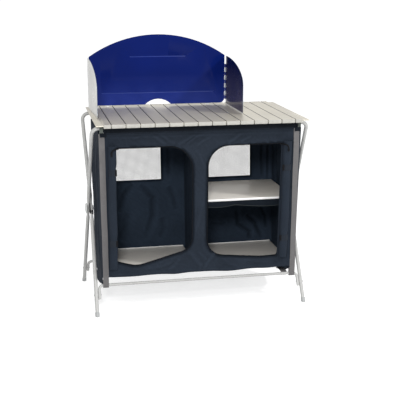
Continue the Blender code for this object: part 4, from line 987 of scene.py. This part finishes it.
class CUPBOARD_OT_rear_wall(bpy.types.Operator):
    """Hangs the rear wall with its two windows, their bindings and their nets"""

    bl_idname = "cupboard.rear_wall"
    bl_label = "Rear wall"

    def execute(self, context):
        tone = colours()
        lining = woven("inner_cloth_rear", tone.inner_cloth, ("X", "Z"))
        windows = {side: window_outline(f"window_net_{side}") for side in ("left", "right")}
        holes = list(windows.values())
        hung_cloth("rear_wall_cloth", REAR, holes, [lining], "back_wall")
        binding = woven("window_binding_cloth", shade_of(tone.inner_cloth, 0.8), ("X", "Z"))
        strips = []
        for outline in holes:
            fine = refined_outline(outline, 0.012)
            for lift in (0.0004, -CLOTH - 0.0011):
                points, sides = opening_route(fine, 0, len(fine) + 1, lift, 0.0008, REAR)
                strips.append(ribbon(points, sides, 0.009))
        hang(add_piece("window_bindings", joined(strips), [binding]))
        net_finish = moulded("net_yarn", tone.net, 0.75)
        for side in windows:
            self.add_net(side, net_finish)
        return {"FINISHED"}

    def add_net(self, side, net_finish):
        """A flat net: strands both ways that cross in one plane."""
        node = f"window_net_{side}"
        low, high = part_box(node)
        pitch = sizes().net_pitch
        strand = sizes().net_strand
        wide, tall = high[0] - low[0], high[2] - low[2]
        bm = bmesh.new()
        bmesh.ops.create_grid(bm, x_segments=round(wide / pitch), y_segments=round(tall / pitch), size=1)
        bmesh.ops.scale(bm, vec=(wide / 2, tall / 2, 1), verts=bm.verts[:])
        rim = bmesh.ops.inset_individual(bm, faces=bm.faces[:], thickness=strand / 2, use_even_offset=True)
        keep = set(rim["faces"])
        bmesh.ops.delete(bm, geom=[face for face in bm.faces if face not in keep], context="FACES")
        thick = strand * 0.35
        raise_faces(bm, bm.faces[:], thick)
        across, up = (low[0] + high[0]) / 2, (low[2] + high[2]) / 2

        def place(u, v, w):
            out = (CLOTH - thick) / 2 + w + REAR.relief(across + u, up + v)
            return Vector((across + u, REAR.inner(up + v) + out, up + v))

        shaped(bm, place)
        piece = add_piece(f"net_{side}", bm, [net_finish], [node])
        hang(piece)


def off_the_walls(y, height):
    """1 inside the cabinet, falling to 0 where a cross wall meets the front and the rear wall."""
    return ease((y - FRONT.inner(height)) / 0.05) * ease((REAR.inner(height) - y) / 0.05)


class CUPBOARD_OT_inner_walls(bpy.types.Operator):
    """Hangs the side walls and the divider, and lays the floor and the sling below the shelf board"""

    bl_idname = "cupboard.inner_walls"
    bl_label = "Side walls, divider, floor and sling"

    def execute(self, context):
        tone = colours()
        self.side_finish = woven("outer_cloth_side", tone.outer_cloth, ("Y", "Z"))
        self.inner_finish = woven("inner_cloth_side", tone.inner_cloth, ("Y", "Z"))
        for side, sign in (("left", -1), ("right", 1)):
            self.add_side(side, sign)
        self.add_stud()
        self.add_divider()
        self.add_floor(tone)
        self.add_sling(tone)
        return {"FINISHED"}

    def add_side(self, side, sign):
        """A side wall: its lower edge drops towards the rear bar; the inner face is the lining."""
        top = HEM_SEAM
        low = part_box(f"side_wall_{side}")[0][2]
        front_drop, rear_rise = (0.029, 0.020) if side == "left" else (0.002, 0.002)
        front_low = CABINET_LOW - front_drop
        rear_low = CABINET_LOW + rear_rise
        sag_end = REAR_BAR_Y - 0.091
        sag_start = sag_end - 0.074
        corners = [
            (FRONT.inner(top) + GAP, top, 0.001),
            (FRONT.inner(front_low) + GAP, front_low, 0.003),
            (sag_start - 0.080, low + 0.018, 0.060),
            (sag_start, low, 0.060),
            (sag_end, low, 0.006),
            (sag_end + 0.012, low + 0.055, 0.010),
            (REAR.inner(rear_low) - GAP, rear_low, 0.004),
            (REAR.inner(top) - GAP, top, 0.001),
        ]
        outline = rounded_outline(corners, 4)
        cell = sizes().cloth_cell
        reach = (FRONT.inner(top) - cell, REAR.inner(top) + cell)
        bm = ruled_plate(reach, (low - cell, top + cell), CLOTH, cell, outline)
        start = CABINET_HALF + GAP

        def relief(u, v):
            fade = off_the_walls(u, v) * ease((top - v) / 0.02)
            return fade * (fold_rise(u, v, SIDE_FOLDS) + creases(u, v, 20 + sign))

        shaped(bm, lambda u, v, w: Vector((sign * (start + w + relief(u, v)), u, v)))
        give_finishes(bm, lambda face: face.normal.x * sign < -0.5)
        add_fold_shade(bm)
        finishes = [self.side_finish, self.inner_finish]
        node = f"side_wall_{side}"
        piece = add_piece(f"side_wall_cloth_{side}", bm, finishes, [node], sharp=55)
        hang_across(piece, outline)

    def add_stud(self):
        """The press stud low on the left side wall."""
        bm = bmesh.new()
        bmesh.ops.create_uvsphere(bm, u_segments=20, v_segments=10, radius=0.0048)
        bmesh.ops.scale(bm, vec=(0.45, 1, 1), verts=bm.verts[:])
        place = (-CABINET_HALF - CLOTH - 0.0035, 0.042, CABINET_LOW - 0.0345)
        bmesh.ops.translate(bm, verts=bm.verts[:], vec=place)
        hang(add_piece("press_stud", bm, [bright_metal("stud_metal")]))

    def add_divider(self):
        box_low, box_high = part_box("centre_divider")
        low, top = box_low[2], box_high[2]
        outline = [(FRONT.inner(v) + GAP, v) for v in (top, low)]
        outline += [(REAR.inner(v) - GAP, v) for v in (low, top)]
        cell = sizes().cloth_cell * 1.4
        across = (outline[0][0] - cell, outline[3][0] + cell)
        bm = ruled_plate(across, (low - cell, top + cell), CLOTH * 0.7, cell, outline)

        def place(u, v, w):
            fade = off_the_walls(u, v) * ease((v - low) / 0.03)
            wave = 0.0050 * noise.noise(Vector((u / 0.035, v / 0.24, 31)))
            return Vector((fade * wave - CLOTH * 0.35 + w, u, v))

        shaped(bm, place)
        finishes = [self.inner_finish]
        piece = add_piece("divider_cloth", bm, finishes, ["centre_divider"], sharp=55)
        hang_across(piece, outline)

    def add_floor(self, tone):
        low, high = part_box("cabinet_floor")
        cell = sizes().cloth_cell * 1.6
        bm = ruled_plate((low[0], high[0]), (low[1], high[1]), high[2] - low[2], cell)

        def place(u, v, w):
            edge = ease((high[0] - abs(u)) / 0.03) * ease((v - low[1]) / 0.03) * ease((high[1] - v) / 0.03)
            sag = edge * 0.0016 * (1 + noise.noise(Vector((u / 0.09, v / 0.09, 41))))
            return Vector((u, v, low[2] + w - sag))

        shaped(bm, place)
        lining = woven("inner_cloth_floor", tone.inner_cloth, ("X", "Y"))
        piece = add_piece("floor_cloth", bm, [lining], ["cabinet_floor"], sharp=55)
        hang(piece)

    def add_sling(self, tone):
        """The tray under the shelf board, with a hem that hangs in a curve below its front edge."""
        low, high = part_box("shelf_sling")
        drop = high[2] - low[2]
        near, top = low[1] + CLOTH / 2, high[2] - CLOTH / 2
        route = [(near, low[2] + (top - low[2]) * step / 5) for step in range(5)]
        route += [(near + (high[1] - near) * step / 34, top) for step in range(35)]
        columns = 44
        bm = strip(low[0], high[0], columns, route)
        for vert in bm.verts:
            share = (vert.co.x - low[0]) / (high[0] - low[0])
            depth = max(0.0, (top - vert.co.z) / (drop - CLOTH / 2))
            sag = math.sin(math.pi * (share - 0.36) / 0.64)
            if share < 0.36:
                sag = 0.6 * math.sin(math.pi * share / 0.36)
            vert.co.z += 0.012 * depth * (1 - sag)
            vert.co.y -= 0.004 * depth * math.sin(share * 9.0) * math.sin(share * math.pi)
        bm.verts.ensure_lookup_table()
        edge = [vert.co + Vector((0, -0.0022, 0.0006)) for vert in bm.verts[:columns + 1]]
        # Painted shade: the sling takes the lining at a quarter of its colour, for the shade under the shelf
        # board.
        lining = woven("inner_cloth_sling_painted_shade", shade_of(tone.inner_cloth, 0.25), ("X", "Y"))
        thickened(bm, CLOTH * 0.6)
        piece = add_piece("sling_cloth", bm, [lining], ["shelf_sling"], sharp=55)
        hang(piece)
        look = moulded("sling_hem_thread", (0.030, 0.036, 0.038), 0.8, 0.1)
        hang(add_piece("sling_hem", cord(edge, 0.0013), [look]))


class CUPBOARD_OT_rolled_doors(bpy.types.Operator):
    """Rolls both doors up against the outer sides of their openings and ties them"""

    bl_idname = "cupboard.rolled_doors"
    bl_label = "Rolled doors"

    def execute(self, context):
        tone = colours()
        cloth = woven("outer_cloth_roll", tone.outer_cloth, ("X", "Z"))
        tie_finish = webbing_finish("tie_webbing", shade_of(tone.outer_cloth, 0.75), "X")
        toggle_finish = moulded("toggle_moulding", (0.004, 0.004, 0.005), 0.5, 0.1)
        bands, toggles = [], []
        for side in ("left", "right"):
            self.add_roll(side, cloth, bands, toggles)
        hang(add_piece("roll_ties", joined(bands), [tie_finish]))
        hang(add_piece("roll_toggles", joined(toggles), [toggle_finish]))
        return {"FINISHED"}

    def waist(self, side, height):
        """A roll's girth along its length: drawn in at its ties, fuller between them."""
        pinch = max(math.exp(-(((height - tie) / 0.024) ** 2)) for tie in TIE_HEIGHTS[side])
        return 0.97 - 0.20 * pinch

    def add_roll(self, side, cloth, bands, toggles):
        """A door rolled up in a spiral; its ties are added to the two lists."""
        node = f"rolled_door_{side}"
        low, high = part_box(node)
        middle = (low[0] + high[0]) / 2
        half = (high[0] - low[0]) / 2 * 0.97
        tall = high[2] - low[2]
        deep = 0.0110 if side == "left" else 0.0128
        turns = 4.6
        count = 112
        levels = sizes().roll_levels
        spiral = []
        for step in range(count + 1):
            share = step / count
            girth = 0.12 + 0.88 * share ** 0.9
            turn = math.tau * turns * share + (0.4 if side == "left" else 2.4)
            spiral.append((half * girth * math.cos(turn), deep * girth * math.sin(turn)))

        def ring(share):
            height = high[2] - tall * share
            girth = self.waist(side, height)
            base = FRONT.inner(height) - ROLL_OFF
            sway = 0.0012 * math.sin(share * 9 + half * 400)
            places = []
            for index, (u, v) in enumerate(spiral):
                soft = 1 + 0.05 * noise.noise(Vector((u * 60, share * 9, v * 60 + middle)))
                outwards = v * girth * soft + deep * 1.02
                lift = 0.004 * index / count
                places.append(Vector((middle + sway + u * girth * soft, base - outwards, height + lift)))
            return places

        bm = thickened(swept([ring(level / levels) for level in range(levels + 1)]), ROLL_THICK)
        piece = add_piece(f"door_roll_{side}", bm, [cloth], [node], sharp=60)
        length_of(spiral)
        hang(piece)
        for height in TIE_HEIGHTS[side]:
            band, toggle = self.tie(middle, half, deep, height, self.waist(side, height))
            bands.append(band)
            toggles.append(toggle)

    def tie(self, middle, half, deep, height, girth):
        """A band round a roll's waist, and its toggle on the side of the opening."""
        base = FRONT.inner(height) - ROLL_OFF - deep * 1.02
        across = half * girth + 0.0012
        depth = deep * girth + 0.0006
        inwards = -math.copysign(1, middle)
        turns = [math.tau * step / 24 for step in range(25)]
        girdle = [(middle + across * math.cos(turn), base - depth * math.sin(turn)) for turn in turns]
        band = swept([[(*spot, height + lift) for spot in girdle] for lift in (-TIE_TALL / 2, TIE_TALL / 2)])
        bmesh.ops.remove_doubles(band, verts=band.verts[:], dist=1e-6)
        thickened(band, -TAPE_THICK)
        side = middle + inwards * across
        reach = Vector((0.0042, 0.0035, 0.0125))
        middle = Vector((side - 0.0016 * inwards, base - 0.0045, height))
        return band, block(middle - reach, middle + reach, 0.0012)


class CUPBOARD_OT_webbing(bpy.types.Operator):
    """Sews the straps down the front corners and lays the strap under the floor"""

    bl_idname = "cupboard.webbing"
    bl_label = "Webbing straps"

    def execute(self, context):
        tone = colours()
        upright = webbing_finish("webbing_upright", tone.webbing, "Z")
        flat = webbing_finish("webbing_flat", tone.webbing, "Y")
        for side, leans in (("left", (-0.0075, 0.0)), ("right", (-0.0040, 0.0065))):
            self.add_corner(side, leans, upright)
        self.add_floor_strap(flat)
        return {"FINISHED"}

    def strap(self, name, path, node, look, leans=None):
        """A strap along (y, z) points, as wide as its CAD node; leans shifts its upper and lower ends."""
        low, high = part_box(node)
        bm = strip(low[0], high[0], 6, path)
        if leans:
            for vert in bm.verts:
                share = (HEM_SEAM - vert.co.z) / (HEM_SEAM - LOWER_BAR_Z)
                fade = ease((vert.co.z - CABINET_LOW) / 0.05) * ease((HEM_SEAM - vert.co.z) / 0.05)
                wave = noise.noise(Vector((low[0], 0, vert.co.z / 0.14)))
                vert.co.x += leans[0] + (leans[1] - leans[0]) * min(1.0, share) + 0.0014 * fade * wave
                swell = noise.noise(Vector((vert.co.x / 0.05, 3, vert.co.z / 0.10)))
                vert.co.y -= 0.0016 * fade * (1 + swell)
        thickened(bm, STRAP_THICK)
        piece = add_piece(name, bm, [look], [node], sharp=50)
        return piece, (high[0] - low[0], length_of(path))

    def ring(self, bar_y, start, end, steps, droop=0.0):
        """Points round a lower bar, from one angle to another in degrees, hanging below it by a droop."""
        radius = LOWER_BAR_R + STRAP_OFF
        middle = LOWER_BAR_Z - droop
        angles = [math.radians(start + (end - start) * step / steps) for step in range(steps + 1)]
        return [(bar_y + radius * math.cos(turn), middle + radius * math.sin(turn)) for turn in angles]

    def add_corner(self, side, leans, look):
        top, low = HEM_SEAM + 0.004, CABINET_LOW
        heights = [top + (low - top) * step / 60 for step in range(61)]
        path = [(FRONT.inner(height) - CLOTH - STRAP_OFF, height) for height in heights]
        path += self.ring(FRONT_LOWER_Y, 180, 360, 12, 0.0045)
        path.append((path[-1][0], LOWER_BAR_Z + 0.022))
        piece, flat = self.strap(f"corner_strap_webbing_{side}", path, f"corner_strap_{side}", look, leans)
        hang(piece)

    def add_floor_strap(self, look):
        """The strap under the floor: a flap behind the front bar, then back to the rear bar and round it."""
        radius = LOWER_BAR_R + STRAP_OFF
        start = FRONT_LOWER_Y + radius
        flap = ((0, -0.009), (0.0004, -0.004), (0.0004, 0), (0.0016, radius * 0.70), (0.0050, radius))
        path = [(start + y, LOWER_BAR_Z + z) for y, z in flap]
        span = REAR_LOWER_Y - path[-1][0]
        for step in range(1, 24):
            share = step / 24
            sag = 0.0030 * math.sin(math.pi * share)
            path.append((REAR_LOWER_Y - span * (1 - share), LOWER_BAR_Z + radius - sag))
        path += self.ring(REAR_LOWER_Y, 90, -90, 12)
        path.append((REAR_LOWER_Y - 0.022, LOWER_BAR_Z - radius))
        piece, flat = self.strap("floor_strap_webbing", path, "floor_strap", look)
        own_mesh(piece)


class CUPBOARD_OT_frames(bpy.types.Operator):
    """Finishes the crossed tube frames, their pivots, feet and rivets"""

    bl_idname = "cupboard.frames"
    bl_label = "Tube frames"

    def execute(self, context):
        tone = colours()
        paint = painted_tube("tube_paint", tone.tube)
        steel = bright_metal("plated_steel")
        black = moulded("black_moulding", (0.018, 0.018, 0.020), 0.4)
        pale = moulded("pale_moulding", (0.62, 0.63, 0.62), 0.4)
        sole = moulded("foot_moulding", (0.42, 0.43, 0.43), 0.6)
        refined("frame_front_top", "front_frame_tube", paint)
        refined("frame_rear_top", "rear_frame_tube", paint, "folding_frame")
        refined("lower_bar_rear", "rear_lower_bar", paint)
        refined("lower_bar_front", "front_lower_bar", paint, "folding_frame")
        for side in ("left", "right"):
            for place, body in (("rear", "stand"), ("front", "folding_frame")):
                refined(f"foot_{place}_{side}", f"{place}_foot_{side}", sole, body, 0.0008)
                refined(f"rivet_{place}_{side}", f"{place}_rivet_{side}", steel, body, 0.0002)
            refined(f"pivot_bolt_{side}", f"bolt_{side}", steel, bevel=0.0004)
            refined(f"pivot_spacer_{side}", f"spacer_{side}", black, bevel=0.0003)
            refined(f"pivot_cap_{side}", f"round_cap_{side}", pale, bevel=0.0005)
            self.add_collar(side, black)
        return {"FINISHED"}

    def add_collar(self, side, look):
        """The black moulding that holds the inner leg just below its pivot."""
        low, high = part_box(f"pivot_bolt_{side}")
        inner = max(low[0], high[0]) if side == "left" else min(low[0], high[0])
        outwards = -1 if side == "left" else 1
        pivot_z = (low[2] + high[2]) / 2
        way = Vector((0, REAR_TUBE[0][1] + TUBE_R, REAR_TUBE[0][2] + 0.008 - pivot_z)).normalized()
        half = Vector((0.0062, 0.0095, 0.0095))
        turn = Matrix.Rotation(math.atan2(-way.y, -way.z), 4, "X").inverted()
        middle = Vector((inner + outwards * 0.0078, 0, pivot_z)) + way * 0.0205
        bm = moved(block(-half, half, 0.0030), middle, turn)
        add_piece(f"pivot_collar_{side}", bm, [look], body="folding_frame")


class CUPBOARD_OT_slatted_top(bpy.types.Operator):
    """Makes the slats with their moulded end caps, and finishes the clips below"""

    bl_idname = "cupboard.slatted_top"
    bl_label = "Slatted top"

    def execute(self, context):
        tone = colours()
        metal = satin_metal("slat_metal", tone.slat)
        # Painted shade: the slats' faces in the gaps are near black, for the shade between the slats.
        side = moulded("slat_side_painted_shade", (0.045, 0.043, 0.040), 0.6)
        cap_finish = moulded("slat_cap_moulding", tone.cap, 0.42)
        depth = sizes().cap_depth
        caps = []
        for index in range(SLAT_COUNT):
            node = f"slat_{index + 1:02d}"
            bm = merged_copy(node)
            for vert in bm.verts:
                if abs(vert.co.y) > abs(SLAT_FRONT) - 0.001:
                    vert.co.y = math.copysign(abs(vert.co.y) - depth, vert.co.y)
            bevel_edges(bm, 0.0003, 1, 60)
            bm.normal_update()
            outer = {0: -1, SLAT_COUNT - 1: 1}.get(index, 0)
            give_finishes(bm, lambda face: self.in_gap(face, outer))
            add_piece(f"{node}_profile", bm, [metal, side], [node], "table_top")
            caps += self.end_caps(index, depth)
        add_piece("slat_end_caps", joined(caps), [cap_finish], body="table_top")
        look = moulded("clip_moulding", (0.095, 0.110, 0.100), 0.5, 0.2)
        for place in ("front_left", "front_right", "rear_left", "rear_right"):
            name = place.replace("_", "_clip_")
            refined(f"table_clip_{place}", name, look, "table_top", 0.0005)
        return {"FINISHED"}

    def in_gap(self, face, outer):
        """Whether a slat's face lies in a gap, so not on the top's outer side, if the slat has one; such faces
        take the painted shade.
        """
        return abs(face.normal.x) > 0.5 and face.normal.x * outer <= 0

    def end_caps(self, index, depth):
        """The moulded caps at both ends of one slat, with rounded upright corners."""
        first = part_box("slat_02")[0][0]
        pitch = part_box("slat_03")[0][0] - first
        lip = 0.030
        width = pitch - (lip if index in (0, SLAT_COUNT - 1) else 0.0032)
        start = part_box("slat_01")[0][0] + lip if index == 0 else first + pitch * (index - 1)
        parts = []
        for y in (SLAT_FRONT, SLAT_REAR - depth):
            parts.append(block((start, y, SLAT_LOW), (start + width, y + depth, SLAT_TOP), 0.0022, 3))
        return parts


class CUPBOARD_OT_windscreen(bpy.types.Operator):
    """Enamels the windscreen, blue inside and pale outside, with rounded sheet edges"""

    bl_idname = "cupboard.windscreen"
    bl_label = "Windscreen"

    def execute(self, context):
        tone = colours()
        # Painted reflection: the blue inside turns paler low down, for the slatted top reflected in it.
        inside = enamel("screen_enamel_inside", tone.screen_inside, painted_reflection=(0.018, 0.034, 0.215))
        # Painted shade: the right wing's inner face gets a darker copy of the blue, for the shade it stands
        # in, and a mauve painted reflection of the top low down.
        painted_shade_screen_inside = shade_of(tone.screen_inside, 0.35)
        reflection_haze = (0.100, 0.091, 0.132)
        painted_shade_wing_inside = enamel("wing_enamel_inside_painted_shade", painted_shade_screen_inside, gloss=0.10, painted_reflection=reflection_haze, reach=0.20)
        outside = enamel("screen_enamel_outside", tone.screen_outside, 0.34, 0.3)
        # Painted highlight: the slopes of the pressed ribs get a paler blue, for the light lines along them.
        worn_and_rib_highlight = enamel("screen_enamel_rib_highlight", (0.014, 0.032, 0.200), 0.3, 0.2)
        bare = bright_metal("screen_cut_edge", (0.30, 0.36, 0.46))
        steel = bright_metal("hinge_steel")
        faces = {
            "windscreen_back": ("screen_back", Vector((0, -1, 0)), "windscreen"),
            "windscreen_wing_left": ("screen_wing_left", Vector((1, 0, 0)), "wing_left"),
            "windscreen_wing_right": ("screen_wing_right", Vector((-1, 0, 0)), "wing_right"),
        }
        for node, (name, inwards, body) in faces.items():
            bm = merged_copy(node)
            if node == "windscreen_back":
                for height, half in SCREEN_RIBS:
                    bm = carved(bm, self.groove(height, half), "DIFFERENCE")
            foot_line = Vector((0, 0, SCREEN_FOOT))
            whole = bm.verts[:] + bm.edges[:] + bm.faces[:]
            bmesh.ops.bisect_plane(bm, geom=whole, plane_co=foot_line, plane_no=(0, 0, 1))
            bm.normal_update()
            bared = node != "windscreen_back"
            give_finishes(bm, lambda face: self.finish_of(face, inwards, foot_line.z, bared))
            # Painted shade: only the right wing takes the darker copy of the blue.
            facing_finish = painted_shade_wing_inside if node == "windscreen_wing_right" else inside
            add_piece(name, bm, [facing_finish, outside, worn_and_rib_highlight, bare], [node], body, 30)
        for side in ("left", "right"):
            refined(f"hinge_pin_{side}", f"screen_pin_{side}", steel, "windscreen", 0.0002)
        return {"FINISHED"}

    def finish_of(self, face, inwards, foot, bared):
        """The number of a face's finish: 0 inside, 1 outside and foot, 2 rib slope with a painted highlight, 3
        bare cut edge.
        """
        facing = face.normal.dot(inwards)
        if face.calc_center_median().z < foot:
            return 1
        if facing > 0.4:
            return 2 if facing < 0.97 and abs(face.normal.z) > 0.2 else 0
        return 3 if abs(facing) < 0.3 and bared else 1

    def groove(self, height, half):
        """The V that a rib pressed from the front leaves in the back sheet's front face."""
        low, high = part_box("windscreen_back")
        middle = (low[0] + high[0]) / 2
        clear, deep, wide = 0.0006, 0.0009, 0.0034
        front = SCREEN_FACE_Y - clear
        outline = [(front, height - wide), (SCREEN_FACE_Y + deep, height), (front, height + wide)]
        return shaped(prism(outline, middle - half, middle + half), lambda u, v, w: Vector((w, u, v)))


class CUPBOARD_OT_boards(bpy.types.Operator):
    """Finishes the floor boards and the shelf board"""

    bl_idname = "cupboard.boards"
    bl_label = "Boards"

    def execute(self, context):
        tone = colours()
        top = laminate("board_laminate", tone.board)
        edge = laminate("board_edge", (0.93, 0.93, 0.92))
        for node in ("floor_board_left", "floor_board_right", "shelf_board"):
            bm = merged_copy(node)
            bevel_edges(bm, 0.0012, 2)
            give_finishes(bm, lambda face: abs(face.normal.z) < 0.7)
            if node != "shelf_board":
                low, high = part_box(node)
                corner = Vector((high[0], high[1], high[2] + 0.0022))
                edging = block((low[0], high[1] - 0.0030, high[2] - 0.002), corner, 0.0006)
                give_finishes(edging, lambda face: True)
                bm = joined([bm, edging])
            add_piece(f"{node}_laminate", bm, [top, edge], [node])
        return {"FINISHED"}


class CUPBOARD_OT_stage(bpy.types.Operator):
    """Lays the pale floor and sets the lights, the world and the camera"""

    bl_idname = "cupboard.stage"
    bl_label = "Stage, lights and camera"

    def execute(self, context):
        self.add_floor()
        self.set_world()
        self.add_lamp("key_lamp", (2.6, -2.0, 2.9), (0.0, 0.0, 0.5), 0.5, 70)
        self.add_lamp("front_lamp", (-1.0, -3.8, 2.3), (0.0, 0.0, 0.4), 0.8, 88)
        self.add_camera()
        context.scene.view_settings.view_transform = "Standard"
        return {"FINISHED"}

    def add_floor(self):
        """A wide pale floor; its own glow shows to the camera but doesn't light the object."""
        bm = bmesh.new()
        bmesh.ops.create_grid(bm, x_segments=2, y_segments=2, size=70)
        made = linked("floor", mesh_of(bm, "floor"))
        look, tree, shader = finish("pale_floor", 0.9, Specular_IOR_Level=0.0)
        glow = self.seen(tree, 0.62)
        wire(tree, shader, Base_Color=(0.80, 0.80, 0.80), Emission_Color=(1, 1, 1), Emission_Strength=glow)
        made.data.materials.append(look)

    def seen(self, tree, strength):
        """A strength for rays from the camera, gloss or clear parts, none for the light on the object."""
        path = tree.nodes.new("ShaderNodeLightPath")
        both = calculate(tree, "MAXIMUM", path.outputs["Is Camera Ray"], path.outputs["Is Glossy Ray"])
        rays = calculate(tree, "MAXIMUM", both, path.outputs["Is Transmission Ray"])
        return calculate(tree, "MULTIPLY", rays, strength)

    def set_world(self):
        """A white world, brighter to the camera than it is as light on the object."""
        world = bpy.data.worlds.new("studio")
        world.use_nodes = True
        tree = world.node_tree
        background = tree.nodes["Background"]
        background.inputs["Color"].default_value = (1, 1, 1, 1)
        ambient = 0.55
        strength = calculate(tree, "ADD", self.seen(tree, 1 - ambient), ambient)
        tree.links.new(strength, background.inputs["Strength"])
        bpy.context.scene.world = world

    def add_lamp(self, name, at, towards, size, power):
        lamp = bpy.data.lights.new(name, "AREA")
        lamp.shape = "DISK"
        lamp.size = size
        lamp.energy = power
        made = linked(name, lamp)
        made.location = at
        made.rotation_euler = (Vector(towards) - Vector(at)).to_track_quat("-Z", "Y").to_euler()

    def add_camera(self):
        """The camera that took the photograph, from its three turns."""
        yaw, pitch, roll = (math.radians(value) for value in (CAMERA_YAW, CAMERA_PITCH, CAMERA_ROLL))
        ahead = Vector((math.sin(yaw) * math.cos(pitch), math.cos(yaw) * math.cos(pitch), -math.sin(pitch)))
        level = Vector((math.cos(yaw), -math.sin(yaw), 0))
        upright = level.cross(ahead)
        right = level * math.cos(roll) + upright * math.sin(roll)
        up = upright * math.cos(roll) - level * math.sin(roll)
        lens = bpy.data.cameras.new("camera")
        lens.sensor_width = 36
        lens.lens = CAMERA_LENS
        lens.shift_x, lens.shift_y = CAMERA_SHIFT
        lens.clip_end = 200
        made = linked("camera", lens)
        made.matrix_world = Matrix.Translation(CAMERA_AT) @ Matrix((right, up, -ahead)).transposed().to_4x4()
        bpy.context.scene.camera = made


OPERATORS = (
    CUPBOARD_OT_stage,
    CUPBOARD_OT_frames,
    CUPBOARD_OT_slatted_top,
    CUPBOARD_OT_windscreen,
    CUPBOARD_OT_boards,
    CUPBOARD_OT_front_panel,
    CUPBOARD_OT_rear_wall,
    CUPBOARD_OT_inner_walls,
    CUPBOARD_OT_rolled_doors,
    CUPBOARD_OT_webbing,
)


class CUPBOARD_PT_panel(bpy.types.Panel):
    """Lists the cupboard's pieces in the sidebar"""

    bl_idname = "CUPBOARD_PT_panel"
    bl_label = "Camping cupboard"
    bl_space_type = "VIEW_3D"
    bl_region_type = "UI"
    bl_category = "Cupboard"

    def draw(self, context):
        for group in (context.scene.cupboard_sizes, context.scene.cupboard_colours):
            for name in group.__annotations__:
                self.layout.prop(group, name)
        for operator in OPERATORS:
            self.layout.operator(operator.bl_idname)


CLASSES = (CupboardSizes, CupboardColours, *OPERATORS, CUPBOARD_PT_panel)


def register():
    for item in CLASSES:
        bpy.utils.register_class(item)
    bpy.types.Scene.cupboard_sizes = PointerProperty(type=CupboardSizes)
    bpy.types.Scene.cupboard_colours = PointerProperty(type=CupboardColours)


def unregister():
    del bpy.types.Scene.cupboard_colours
    del bpy.types.Scene.cupboard_sizes
    for item in reversed(CLASSES):
        bpy.utils.unregister_class(item)


def main():
    register()
    for operator in OPERATORS:
        group, name = operator.bl_idname.split(".")
        getattr(getattr(bpy.ops, group), name)()


if __name__ == "__main__":
    main()
